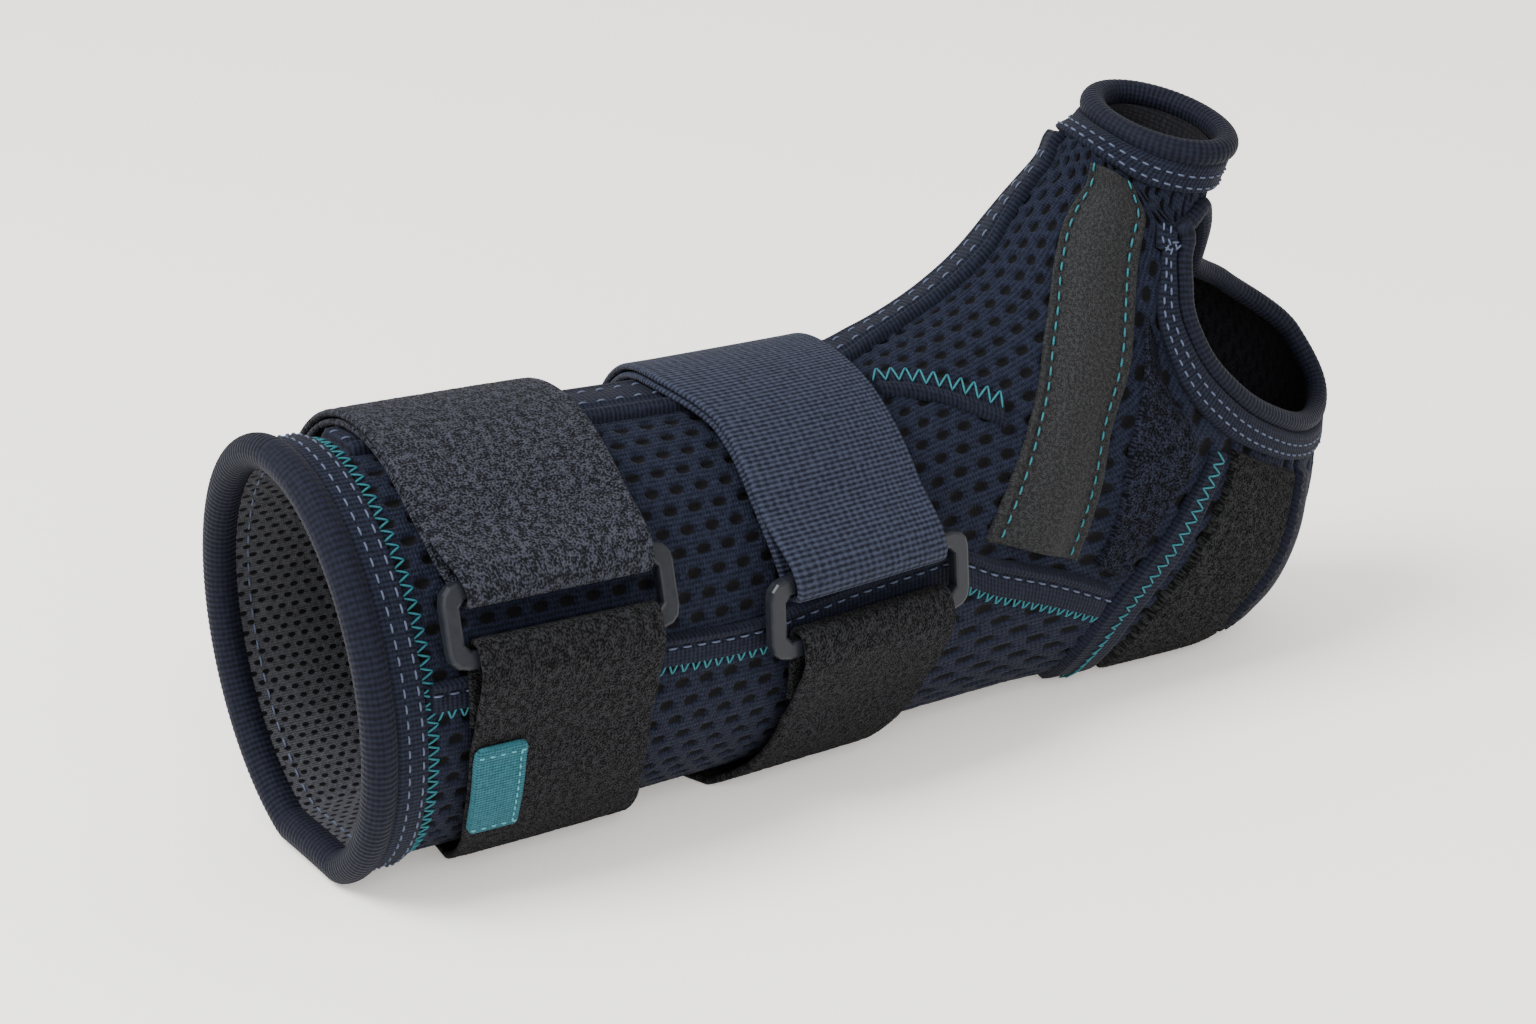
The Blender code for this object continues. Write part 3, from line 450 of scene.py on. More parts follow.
def even_loop(station, angle, points):
    """The same closed outline with its points spaced evenly over the cloth."""
    place = body_point(station, angle)
    gone = travelled(np.vstack([place, place[:1]]))
    wanted = np.linspace(0, gone[-1], points, endpoint=False)
    return (
        np.interp(wanted, gone, np.append(station, station[0])),
        np.interp(wanted, gone, np.append(angle, angle[0])),
    )


def unit(vectors):
    """The same directions with a length of one."""
    return vectors / np.linalg.norm(vectors, axis=-1, keepdims=True)


def spread(station, angle, distance, steps):
    """Moves a closed outline outwards over the cloth by a distance, in equal steps. A step's move in space
    is turned into station and angle by least squares over the two directions of the surface."""
    tiny_s = 0.01
    tiny_a = 0.2
    for _ in range(steps):
        here = body_point(station, angle)
        by_s = (body_point(station + tiny_s, angle) - here) / tiny_s
        by_a = (body_point(station, angle + tiny_a) - here) / tiny_a
        tangent = np.roll(here, -1, axis=0) - np.roll(here, 1, axis=0)
        side = unit(np.cross(tangent, np.cross(by_a, by_s)))
        out = np.sign(((here - here.mean(axis=0)) * side).sum())
        move = side * out * np.reshape(distance, (-1, 1)) / steps
        products = ((by_s, by_s), (by_s, by_a), (by_a, by_a), (move, by_s), (move, by_a))
        ss, sa, aa, ms, ma = ((one * other).sum(-1) for one, other in products)
        scale = ss * aa - sa * sa
        station = station + (ms * aa - ma * sa) / scale
        angle = angle + (ma * ss - ms * sa) / scale
    return station, angle


# Painted shade: darker colours than the forearm lining, for the shade inside the hand shell
shaded_hand_lining_look = cloth_look(
    "hand_lining_shaded", eyelets, (0.003, 0.003, 0.004), (0.014, 0.014, 0.018), 0.9, 0.0002
)
hand_angles = np.linspace(SEAM_ANGLE - 360, SEAM_ANGLE, HAND_COLUMNS)
hand_start = np.full(HAND_COLUMNS, SPLIT_STATION)
thumb_edge = station_from_rim(LAST_STATION, hand_angles, THUMB_BINDING * UNDER_ROLL)
mouth = spread(*opening_outline(OPENING_POINTS), MOUTH_CLEARANCE, OPENING_STEPS)
hand_face, hand_inside = knit_grids(hand_start, thumb_edge, HAND_STEP, mouth)
stands_for(grid_object("hand_knit", [hand_face], knit_look), "hand_shell")
grid_object("hand_lining_shaded", [hand_inside], shaded_hand_lining_look)

# Bindings
# Rolled ribbed cords of knit, sewn over the raw edges of the cuff, the thumb rim and the hand opening.
HAND_BINDING = 0.0020
BINDING_SINK = 0.0002
RIB_PITCH = 0.0011
RIB_SHARE = 0.014
ROLL_SIDES = 32
RIM_FINE = 900
THUMB_ROLL_POINTS = 520
HAND_ROLL_POINTS = 820


def rib_relief(name, along_pitch, across_pitch, wear):
    """Ribs across u and a softer weave across v, each a sine of its pitch, roughened by noise."""
    tree, u, v, layout, end = relief_group(name)
    rib = maths(tree, "SINE", maths(tree, "MULTIPLY", u, 2 * np.pi / along_pitch))
    weave = maths(tree, "SINE", maths(tree, "MULTIPLY", v, 2 * np.pi / across_pitch))
    rough = noise_node(tree, layout, 900.0, 1.0)
    body = maths(tree, "MULTIPLY_ADD", rib, 0.26, maths(tree, "MULTIPLY_ADD", weave, 0.12, 0.5))
    total = maths(tree, "MULTIPLY_ADD", maths(tree, "SUBTRACT", rough, 0.5), wear, body)
    tree.links.new(total, end.inputs["Relief"])
    return tree


def rolled_cord(name, station, angle, radius, look):
    """A closed tube along a line of stations and angles, flattened where it meets the floor. Its radius
    swells and sinks by a cosine of the distance along it, a whole number of ribs to the loop."""
    centre = body_point(station, angle, -BINDING_SINK)
    out = body_point(station, angle, -BINDING_SINK + PROBE) - centre
    tangent = unit(np.roll(centre, -1, axis=0) - np.roll(centre, 1, axis=0))
    out = unit(out - (out * tangent).sum(-1, keepdims=True) * tangent)
    side = np.cross(tangent, out)
    gone = travelled(np.vstack([centre, centre[:1]]))
    turn = np.linspace(0, 2 * np.pi, ROLL_SIDES + 1)
    rings = np.arange(len(centre) + 1) % len(centre)
    ribs = round(gone[-1] / RIB_PITCH)
    size = radius * (1 + RIB_SHARE * np.cos(2 * np.pi * ribs * gone / gone[-1]))
    arm = out[rings][:, None] * np.cos(turn)[:, None] + side[rings][:, None] * np.sin(turn)[:, None]
    points = centre[rings][:, None] + arm * size[:, None, None]
    layout = np.stack(np.broadcast_arrays(gone[:, None], turn * radius), -1)
    return grid_object(name, [(points, points + arm * PROBE, layout, None)], look)


roll_ribs = rib_relief("roll ribs", RIB_PITCH, 0.0009, 0.5)
roll_look = cloth_look("roll", roll_ribs, (0.0018, 0.0024, 0.0056), (0.0070, 0.0088, 0.0185), 0.72, 0.00012)
rim = np.linspace(0, 360, RIM_FINE, endpoint=False)
cuff_rim = even_loop(np.zeros(RIM_FINE), rim, RIM_FINE)
stands_for(rolled_cord("cuff_roll", *cuff_rim, CUFF_BINDING, roll_look), "cuff_binding")
thumb_rim = even_loop(np.full(RIM_FINE, LAST_STATION), rim, THUMB_ROLL_POINTS)
stands_for(rolled_cord("thumb_roll", *thumb_rim, THUMB_BINDING, roll_look), "thumb_binding")
mouth_s, mouth_a = opening_outline(HAND_ROLL_POINTS)
stands_for(rolled_cord("hand_roll", mouth_s, mouth_a, HAND_BINDING, roll_look), "hand_opening_binding")

# Stitches
# Threads of white, teal and dark yarn: short rounded dashes whose ends sink into the cloth, laid along
# lines over the body.
WHITE_THREAD = (0.060, 0.076, 0.125)
TEAL_THREAD = (0.012, 0.115, 0.140)
DARK_THREAD = (0.012, 0.013, 0.018)
THREAD_RADIUS = 0.00020
THREAD_SHADE = 0.55
THREAD_GRAIN = 2600.0
ZIGZAG_GAP = 0.0012
ZIGZAG_REACH = 0.0014
BORDER_POINTS = 400

# A dash's rings: their places along it, and their sizes and lifts in shares of the thread's radius
DASH_SIDES = 6
DASH_PLACES = (0.0, 0.10, 0.28, 0.5, 0.72, 0.90, 1.0)
DASH_SIZES = (0.25, 0.8, 1.0, 1.05, 1.0, 0.8, 0.25)
DASH_LIFTS = (-0.7, 0.15, 0.55, 0.7, 0.55, 0.15, -0.7)


def thread_look(name, colour):
    """Plain thread, from a darker to the full colour over a fine noise."""
    look, tree, shader = new_look(name, {"Roughness": 0.7, "Specular IOR Level": 0.3})
    place = tree.nodes.new("ShaderNodeTexCoord").outputs["Object"]
    dark = [THREAD_SHADE * part for part in colour]
    ramp = colour_ramp(tree, noise_node(tree, place, THREAD_GRAIN, 2.0), dark, colour, end=0.62)
    tree.links.new(ramp, shader.inputs["Base Color"])
    return look


def dashes(name, stitches, look):
    """One mesh of thread dashes. Each set of stitches is (starts, ends, outward directions)."""
    starts, ends, outs = (np.concatenate(group) for group in zip(*stitches))
    run = ends - starts
    side = unit(np.cross(unit(run), outs))
    up = np.cross(side, unit(run))
    turn = np.linspace(0, 2 * np.pi, DASH_SIDES, endpoint=False)
    place = np.array(DASH_PLACES)[:, None]
    lifted = up[:, None] * np.array(DASH_LIFTS)[:, None] * THREAD_RADIUS
    middle = starts[:, None] + run[:, None] * place + lifted
    arm = side[:, None] * np.cos(turn)[:, None] + up[:, None] * np.sin(turn)[:, None]
    size = np.array(DASH_SIZES)[None, :, None, None] * THREAD_RADIUS
    points = middle[:, :, None] + arm[:, None] * size
    rings = len(DASH_PLACES)
    ring, turn_index = np.meshgrid(np.arange(rings - 1), np.arange(DASH_SIDES), indexing="ij")
    a = ring * DASH_SIDES + turn_index
    b = ring * DASH_SIDES + (turn_index + 1) % DASH_SIDES
    quads = np.stack([a, b, b + DASH_SIDES, a + DASH_SIDES], -1).reshape(-1, 4)
    caps = np.array([(0, 3, 2, 1), (0, 5, 4, 3)])
    far = (rings - 1) * DASH_SIDES + np.array([(0, 1, 2, 3), (0, 3, 4, 5)])
    one = np.concatenate([quads, caps, far])
    faces = (one[None] + np.arange(len(starts))[:, None, None] * rings * DASH_SIDES).reshape(-1, 4)
    piece = mesh_object(name, points.reshape(-1, 3), faces, look)
    return piece


def cloth_line(station, angle, height, gap):
    """Places about a gap apart along a line over the cloth, with its direction, side and outward way."""
    gone = travelled(body_point(station, angle, height))
    wanted = np.linspace(0, gone[-1], max(int(gone[-1] / gap), 2))
    rows = (np.broadcast_to(value, gone.shape) for value in (station, angle, height))
    s, a, h = (np.interp(wanted, gone, row) for row in rows)
    here = body_point(s, a, h)
    out = unit(body_point(s, a, h + PROBE) - here)
    way = unit(np.gradient(here, axis=0))
    return here, way, np.cross(out, way), out


def dashed(station, angle, height, gap, length):
    """Straight dashes along a line over the cloth."""
    here, way, _, out = cloth_line(station, angle, height, gap)
    return here - way * length / 2, here + way * length / 2, out


def zigzag(station, angle, height, gap=ZIGZAG_GAP, reach=ZIGZAG_REACH):
    """Legs of a zigzag either side of a line over the cloth."""
    here, _, side, out = cloth_line(station, angle, height, gap)
    corner = here + side * reach * np.where(np.arange(len(here)) % 2, 1, -1)[:, None]
    return corner[:-1], corner[1:], out[:-1]


def border(pairs, count):
    """A border table read at evenly spaced places."""
    place = np.linspace(0, len(pairs) - 1, count)
    return tuple(along(values, place) for values in zip(*pairs))


def between(first, second, share, inset=2):
    """The line between two borders at a share of the way from the first, cut short at both ends."""
    (s1, a1), (s2, a2) = border(first, BORDER_POINTS), border(second, BORDER_POINTS)
    inner = slice(inset, -inset)
    return (s1 * (1 - share) + s2 * share)[inner], (a1 * (1 - share) + a2 * share)[inner]


white_thread = thread_look("white_thread", WHITE_THREAD)
teal_thread = thread_look("teal_thread", TEAL_THREAD)
dark_thread = thread_look("dark_thread", DARK_THREAD)

# Hems
# Flat knit bands beside the three rolls, each sewn down by two rows of white stitches. A teal zigzag runs
# beside the cuff's hem.
CUFF_HEM = 0.0052
THUMB_HEM = 0.0055
HAND_HEM = 0.0058
HAND_HEM_NARROW = 0.0022
HAND_HEM_STATIONS = (8.4, 10.2)
HAND_HEM_END = 12.0
HAND_HEM_FAR_END = 11.3
HAND_HEM_RISE = 0.0006
TAPE_TOP = TAPE_RISE + TAPE
HAND_HEM_TOP = HAND_HEM_RISE + TAPE
HEM_COLUMNS = 401
TAPE_PITCHES = (0.0009, 0.0008)

# A hem starts at this share of the roll's radius, and its rows of stitches stop at a station and an angle
HEM_START = 0.8
HAND_ROWS_END = (11.3, 140)

# Gap and length of the stitches of each hem, and how far its rows lie from the roll
CUFF_STITCH = (0.0028, 0.0018)
CUFF_ROWS = (0.0016, 0.0042)
INNER_ROW = 0.0012
INNER_STITCH = (0.003, 0.002)
ZIGZAG_ROW = 0.0066
ZIGZAG_RISE = 0.0002
THUMB_STITCH = (0.0023, 0.0015)
THUMB_ROWS = (0.0022, 0.0046)
HAND_STITCH = (0.0024, 0.0015)
HAND_ROW_SHARES = (0.3, 0.72)

# Section of a hem as shares of its width and of its height; below the cloth it sinks by EDGE_SINK
HALF_SHARES = np.array([0.0, 0.0, 0.02, 0.06, 0.12, 0.2, 0.3, 0.4])
HALF_LIFTS = np.array([-1.2, 0.3, 0.7, 0.92, 1.0, 1.0, 1.0, 1.0])
EDGE_SHARES = np.concatenate([HALF_SHARES, [0.5], 1 - HALF_SHARES[::-1]])
EDGE_LIFTS = np.concatenate([HALF_LIFTS, [1.0], HALF_LIFTS[::-1]])
EDGE_SINK = 0.0003
HEM_LAYOUT_WIDTH = 0.006


def band(name, inner, outer, top, look):
    """A band of cloth between two outlines of stations and angles, its edges rounded down to the knit."""
    share = EDGE_SHARES[:, None]
    station = inner[0][None, :] * (1 - share) + outer[0][None, :] * share
    angle = inner[1][None, :] * (1 - share) + outer[1][None, :] * share
    height = np.where(EDGE_LIFTS > 0, EDGE_LIFTS * top, EDGE_LIFTS * EDGE_SINK)[:, None]
    middle = len(share) // 2
    gone = travelled(body_point(station[middle], angle[middle], height[middle]))
    layout = np.stack(np.broadcast_arrays(gone[None, :], share * HEM_LAYOUT_WIDTH), -1)
    return grid_object(name, [cloth_grid(station, angle, height, layout)], look)


def rim_line(rim, distance):
    """The line round the body a distance from a rim, as stations and angles."""
    turn = np.linspace(0, 360, HEM_COLUMNS)
    return station_from_rim(rim, turn, distance), turn


tape_weave = rib_relief("tape weave", *TAPE_PITCHES, 0.5)
hem_look = cloth_look("hem", tape_weave, (0.0022, 0.0030, 0.0066), (0.0092, 0.0118, 0.0236), 0.8, 0.00018)
cuff_in = rim_line(0.0, CUFF_BINDING * HEM_START)
cuff_out = rim_line(0.0, CUFF_BINDING + LAYER_GAP + CUFF_HEM)
stands_for(band("cuff_hem_band", cuff_in, cuff_out, TAPE_TOP, hem_look), "cuff_hem")
cuff_rows = [dashed(*rim_line(0.0, CUFF_BINDING + row), TAPE_TOP, *CUFF_STITCH) for row in CUFF_ROWS]
here, way, _, out = cloth_line(*rim_line(0.0, CUFF_BINDING + INNER_ROW), -WALL, INNER_STITCH[0])
cuff_rows.append((here - way * INNER_STITCH[1] / 2, here + way * INNER_STITCH[1] / 2, -out))
dashes("cuff_stitches", cuff_rows, white_thread)
cuff_zigzag = zigzag(*rim_line(0.0, CUFF_BINDING + ZIGZAG_ROW), ZIGZAG_RISE)
dashes("cuff_zigzag", [cuff_zigzag], teal_thread)

thumb_in = rim_line(LAST_STATION, THUMB_BINDING * HEM_START)
thumb_out = rim_line(LAST_STATION, THUMB_BINDING + LAYER_GAP + THUMB_HEM)
stands_for(band("thumb_hem_band", thumb_out, thumb_in, TAPE_TOP, hem_look), "thumb_hem")
thumb_rows = [
    dashed(*rim_line(LAST_STATION, THUMB_BINDING + row), TAPE_TOP, *THUMB_STITCH) for row in THUMB_ROWS
]
dashes("thumb_stitches", thumb_rows, white_thread)

# The hand hem takes every third point of the roll's line, from its furthest station, and tapers
start = int(np.argmax(mouth_s))
hand_line = np.roll(mouth_s, -start)[::3], np.roll(mouth_a, -start)[::3]
hem_width = np.interp(hand_line[0], HAND_HEM_STATIONS, (HAND_HEM, HAND_HEM_NARROW))
hemmed = hand_line[0] < np.where(hand_line[1] < 180, HAND_HEM_END, HAND_HEM_FAR_END)
hand_edge = HAND_BINDING + LAYER_GAP


def beside_mouth(distance):
    """The hemmed part of the line a distance outside the hand opening."""
    return [value[hemmed] for value in spread(*hand_line, distance, OPENING_STEPS)]


hand_in = beside_mouth(HAND_BINDING * HEM_START)
hand_out = beside_mouth(hand_edge + hem_width)
stands_for(band("hand_hem_band", hand_in, hand_out, HAND_HEM_TOP, hem_look), "hand_hem")
hand_rows = []
for share in HAND_ROW_SHARES:
    row_s, row_a = beside_mouth(hand_edge + hem_width * share)
    near = (row_a < HAND_ROWS_END[1]) & (row_s < HAND_ROWS_END[0])
    hand_rows.append(dashed(row_s[near], row_a[near], HAND_HEM_TOP, *HAND_STITCH))
dashes("hand_stitches", hand_rows, white_thread)

# Tapes
# Seam tapes laid over the knit, all but the palm tape with a rolled lip, and sewn down by white stitches
# and teal zigzags.
# Borders are rows of station and angle.
TOP_TAPE_FAR = ((0.26, -13), (1.3, -13), (2.2, -13), (3.2, -16), (5, -17), (7, -18), (9, -21), (11.2, -25))
TOP_TAPE_NEAR = ((0.26, 9), (1.3, 14), (2.2, 15), (3.2, 9), (5, 4), (7, 4), (9, 0), (11.2, -4))
SIDE_TAPE_UPPER = (
    (0.24, 82), (1.3, 83), (1.9, 85), (2.6, 82), (3.35, 81), (3.94, 90), (4.7, 101), (5.12, 109),
)
SIDE_TAPE_LOWER = (
    (0.24, 90), (1.3, 92), (1.9, 94), (2.6, 92), (3.30, 92), (3.86, 102), (4.5, 113), (4.88, 120),
)
CURVE_SEAM_UPPER = ((3.36, 19), (3.70, 23), (4.19, 31), (4.60, 39), (4.98, 47))
CURVE_SEAM_LOWER = ((3.36, 29), (3.66, 33), (4.08, 40), (4.40, 47), (4.74, 55))
DIAGONAL_LEFT = ((7.42, 88.5), (6.85, 91), (6.05, 98.5), (5.3, 110.5), (4.8, 125), (4.52, 145), (4.45, 166))
DIAGONAL_RIGHT = ((7.6, 92.5), (7.08, 95), (6.3, 103.5), (5.64, 114.5), (5.18, 129), (4.94, 148), (4.9, 166))
LIP = 0.0006
EDGE_ROUND = 0.0008
PIECE_SINK = 0.0004
SIDE_STITCH = (0.0030, 0.0019)
TOP_STITCH = (0.0036, 0.0018)
CURVE_ZIGZAG_REACH = 0.0016


def raised(name, first, second, top, count, across, ridges, look, rough=0.0):
    """A piece of cloth between two borders. Its edges come down to the knit in a quarter circle; each
    ridge (share, half width as a share, height) is a bell curve along it; the nap is a random height."""
    first_s, first_a = border(first, count)
    second_s, second_a = border(second, count)
    share = np.concatenate([[0.0], np.linspace(0, 1, across), [1.0]])
    station = first_s[:, None] * (1 - share) + second_s[:, None] * share
    angle = first_a[:, None] * (1 - share) + second_a[:, None] * share
    points = body_point(station, angle, top)
    width = np.linalg.norm(points[:, -1] - points[:, 0], axis=-1).mean()
    gone = travelled(points[:, share.size // 2])
    from_side = np.minimum(share, 1 - share) * width
    from_end = np.minimum(gone, gone[-1] - gone)
    edge = np.minimum(from_side[None, :], from_end[:, None]) / EDGE_ROUND
    lift = np.sqrt(1 - (1 - np.clip(edge, 0, 1)) ** 2)
    height = lift * top
    for centre, half, rise in ridges:
        height = height + lift * rise * np.exp(-(((share - centre) / half) ** 2))
    if rough:
        height = height + lift * rough * np.random.default_rng(len(name)).uniform(-1, 1, height.shape)
    height[:, [0, -1]] = -PIECE_SINK
    height[[0, -1], :] = -PIECE_SINK
    layout = np.stack(np.broadcast_arrays(gone[:, None], share * width), -1)
    return grid_object(name, [cloth_grid(station, angle, height, layout)], look)


tape_look = cloth_look("tape", tape_weave, (0.0022, 0.0029, 0.0064), (0.0088, 0.0114, 0.0228), 0.78, 0.00018)
top_ridges = ((0.88, 0.07, LIP), (0.76, 0.04, -LIP), (0.12, 0.08, 0.0004))
side_ridges = ((0.14, 0.12, LIP), (0.34, 0.06, -0.0004))
curve_ridges = ((0.72, 0.14, LIP), (0.48, 0.08, -0.0003))
top_far = TOP_TAPE_FAR + ((12.5, -28),)
top_near = TOP_TAPE_NEAR + ((12.5, -7),)
for name, node, first, second, count, across, ridges in (
    ("top_tape", "top_seam_tape", top_far, top_near, 300, 28, top_ridges),
    ("side_tape", "side_seam_tape", SIDE_TAPE_UPPER, SIDE_TAPE_LOWER, 300, 20, side_ridges),
    ("wrist_tape", "wrist_seam_tape", CURVE_SEAM_UPPER, CURVE_SEAM_LOWER, 140, 18, curve_ridges),
    ("palm_tape", "palm_seam_tape", DIAGONAL_LEFT, DIAGONAL_RIGHT, 240, 16, ()),
):
    stands_for(raised(name, first, second, TAPE_TOP, count, across, ridges, tape_look), node)
tape_rows = [
    dashed(*between(SIDE_TAPE_UPPER, SIDE_TAPE_LOWER, 0.38), TAPE_TOP, *SIDE_STITCH),
    dashed(*between(TOP_TAPE_FAR, TOP_TAPE_NEAR, 0.66), TAPE_TOP, *TOP_STITCH),
    dashed(*between(TOP_TAPE_FAR, TOP_TAPE_NEAR, 0.30), TAPE_TOP, *TOP_STITCH),
]
dashes("tape_stitches", tape_rows, white_thread)
curve_line = between(CURVE_SEAM_UPPER, CURVE_SEAM_LOWER, 0.16)
tape_zigzags = [
    zigzag(*between(SIDE_TAPE_UPPER, SIDE_TAPE_LOWER, 0.98), TAPE_TOP * 0.7),
    zigzag(*curve_line, TAPE_TOP, reach=CURVE_ZIGZAG_REACH),
    zigzag(*between(DIAGONAL_LEFT, DIAGONAL_RIGHT, 0.5), TAPE_TOP),
]
dashes("tape_zigzags", tape_zigzags, teal_thread)

# Thumb stay cover
# A suede cover over the thumb's stay, padded in the middle, and sewn down through its flat flanges with a
# row of teal thread along each side.
STAY_COVER = 0.0018
FLANGE = 0.0006
STAY_LEFT = ((3.86, 84), (4.60, 66), (5.44, 51), (6.60, 35.5), (8.05, 26), (10.0, 21.5), (12.0, 22))
STAY_RIGHT = ((4.82, 98), (5.45, 82), (6.31, 66.5), (7.4, 58.5), (8.69, 53), (10.6, 49.5), (12.6, 50))
STAY_STITCH = (0.0027, 0.0018)
STAY_THREAD_RISE = 0.0001

# The pad's ridges lie side by side at these shares of the width, and a groove runs under each row of thread
PAD_SHARES = (0.34, 0.45, 0.55, 0.66)
PAD_HALF = 0.12
GROOVE_SHARES = (0.12, 0.88)
GROOVE_HALF = 0.035
GROOVE = 0.0004


def grain_relief(name, scale, detail, fine_scale):
    """The mean of a coarse and a fine noise over the layout, its contrast raised."""
    tree, _, _, layout, end = relief_group(name)
    coarse = noise_node(tree, layout, scale, detail)
    fine = noise_node(tree, layout, fine_scale, 0.0)
    total = maths(tree, "MULTIPLY_ADD", fine, 0.5, maths(tree, "MULTIPLY", coarse, 0.5))
    spread_out = maths(tree, "MULTIPLY_ADD", maths(tree, "SUBTRACT", total, 0.5), 3.6, 0.45)
    tree.links.new(spread_out, end.inputs["Relief"])
    return tree


suede = grain_relief("suede grain", 1500.0, 1.0, 4200.0)
suede_look = cloth_look(
    "suede", suede, (0.0075, 0.0078, 0.0084), (0.0235, 0.0242, 0.0258), 0.72, 0.00010, spots=0.1
)
pad_rise = (STAY_COVER - FLANGE) * 0.8
flange_top = TAPE_RISE + FLANGE
stay_ridges = [(share, PAD_HALF, pad_rise) for share in PAD_SHARES]
stay_ridges += [(share, GROOVE_HALF, -GROOVE) for share in GROOVE_SHARES]
stay = raised("stay_cover", STAY_LEFT, STAY_RIGHT, flange_top, 260, 70, stay_ridges, suede_look)
stands_for(stay, "thumb_stay_cover")
stay_rows = [
    dashed(*between(STAY_LEFT, STAY_RIGHT, share, inset=10), flange_top + STAY_THREAD_RISE, *STAY_STITCH)
    for share in GROOVE_SHARES
]
dashes("stay_stitches", stay_rows, teal_thread)

# Plush panels
# The loop pile beside the stay, the fuzzy palm panel, and the corded piping that closes its edge with a
# dark blanket stitch.
PILE_LEFT = (
    (5.02, 101), (5.45, 91), (5.90, 81), (6.45, 71.5), (6.95, 66.8), (7.5, 62.5), (8.05, 59),
    (8.5, 57.2),
)
PILE_RIGHT = (
    (5.24, 107.5), (5.94, 95.5), (6.55, 89.5), (7.06, 86.5), (7.40, 80), (7.46, 73), (7.66, 66.5),
    (8.2, 60.5),
)
PALM_LEFT = (
    (7.74, 94.5), (7.20, 97.5), (6.42, 106), (5.76, 117), (5.30, 131), (5.04, 150), (5.00, 168),
    (5.0, 190), (5.0, 211),
)
PALM_RIGHT = (
    (8.36, 121), (7.92, 123), (7.46, 127.5), (6.94, 132.5), (6.50, 141), (6.33, 156), (6.30, 170),
    (6.30, 190), (6.30, 211),
)
PIPING_LEFT = (
    (8.48, 124), (8.06, 126), (7.60, 130.5), (7.09, 135.5), (6.64, 143.5), (6.47, 158), (6.44, 171),
    (6.44, 190), (6.44, 214),
)
PIPING_RIGHT = (
    (8.62, 131), (8.28, 134), (7.80, 138.5), (7.36, 143.5), (6.92, 150), (6.74, 162), (6.68, 171),
    (6.68, 190), (6.68, 214),
)
PLUSH_TOP = TAPE_RISE + PLUSH
PLUSH_NAP = 0.00018
BLANKET_STITCH = (0.0014, 0.0010)
nap = grain_relief("nap", 650.0, 2.0, 2400.0)
pile_look = cloth_look("loop_pile", nap, (0.0008, 0.0010, 0.0026), (0.0150, 0.0180, 0.0340), 0.95, 0.0008)
plush_look = cloth_look("palm_plush", nap, (0.0012, 0.0013, 0.0014), (0.0210, 0.0220, 0.0235), 0.95, 0.0008)
cord_ridge = ((0.5, 0.3, 0.0003),)
for name, node, first, second, count, across, ridges, look, rough in (
    ("loop_pile", "loop_pile_panel", PILE_LEFT, PILE_RIGHT, 150, 60, (), pile_look, PLUSH_NAP),
    ("palm_plush", "palm_panel", PALM_LEFT, PALM_RIGHT, 300, 90, (), plush_look, PLUSH_NAP),
    ("palm_piping", "palm_edge_piping", PIPING_LEFT, PIPING_RIGHT, 260, 20, cord_ridge, roll_look, 0.0),
):
    stands_for(raised(name, first, second, PLUSH_TOP, count, across, ridges, look, rough), node)
blanket = zigzag(*between(PIPING_LEFT, PIPING_RIGHT, 0.25), PLUSH_TOP, *BLANKET_STITCH)
dashes("piping_stitches", [blanket], dark_thread)

# Straps
# Each closure is an upper strap doubled over its ring's bar and a lower strap folded under the other bar.
# The upper strap is soft loop cloth at the cuff and ribbed webbing at the wrist; the lower ones are napped.
SECOND_RISE = STRAP_RISE + STRAP + LAYER_GAP
RING_HEIGHT = 0.0150
RING_BAR = 0.0032
RING_DEPTH = 0.0026
RING_CLEARANCE = 0.0006
RING_LEVEL = STRAP_RISE + STRAP + RING_CLEARANCE + RING_DEPTH / 2

# Rows of angle and the stations of the left and right edge
WRIST_STRAP = (
    (-110, 1.97, 3.20), (-50, 1.85, 3.12), (0, 1.72, 3.05), (30, 1.87, 3.15), (55, 1.93, 3.20),
    (80, 2.05, 3.22), (95, 2.09, 3.21), (120, 2.13, 3.13), (140, 2.10, 3.00), (160, 1.98, 2.92),
    (180, 1.92, 2.88), (215, 1.94, 2.98), (250, 1.97, 3.20),
)
CUFF_STRAP = (
    (-110, 0.44, 1.38), (-50, 0.35, 1.30), (0, 0.33, 1.28), (30, 0.33, 1.29), (50, 0.36, 1.31),
    (67, 0.43, 1.31), (95, 0.42, 1.34), (120, 0.44, 1.38), (140, 0.51, 1.46), (160, 0.57, 1.53),
    (180, 0.60, 1.56), (215, 0.54, 1.50), (250, 0.44, 1.38),
)
CUFF_RING_ANGLE = 68.5
WRIST_RING_ANGLE = 84.5
STRAP_FREE_END = -52
STRAP_SEAM = -100
STRAP_STEP = 9.5
STRAP_FINE = 241
TAIL = 0.013

# Grid of a strap: samples of its path, length of a row, rows and share of each rounded edge, rows between
PATH_FINE = 2400
STRAP_ROW = 0.0006
EDGE_ROWS = 4
EDGE_SHARE = 0.018
FLAT_ROWS = 64
STRAP_LAYOUT_WIDTH = 0.04
LOOP_NAP = 0.00008
UNDER_NAP = 0.00012

# Ease of a strap from its resting layer onto a ring bar, in shares of the ease length and of the lift
BAR_TOP = RING_LEVEL + RING_DEPTH / 2 + RING_CLEARANCE + STRAP / 2
UPPER_EASE = 0.0140
UPPER_ONTO_BAR = ((1.0, 0.0), (0.68, 0.23), (0.39, 0.66), (0.17, 0.97))
LOWER_EASE = 0.0200
LOWER_ONTO_BAR = ((1.0, 0.0), (0.825, 0.12), (0.65, 0.33), (0.45, 0.55), (0.275, 0.84), (0.12, 1.04))
FOLD_STEPS = 6


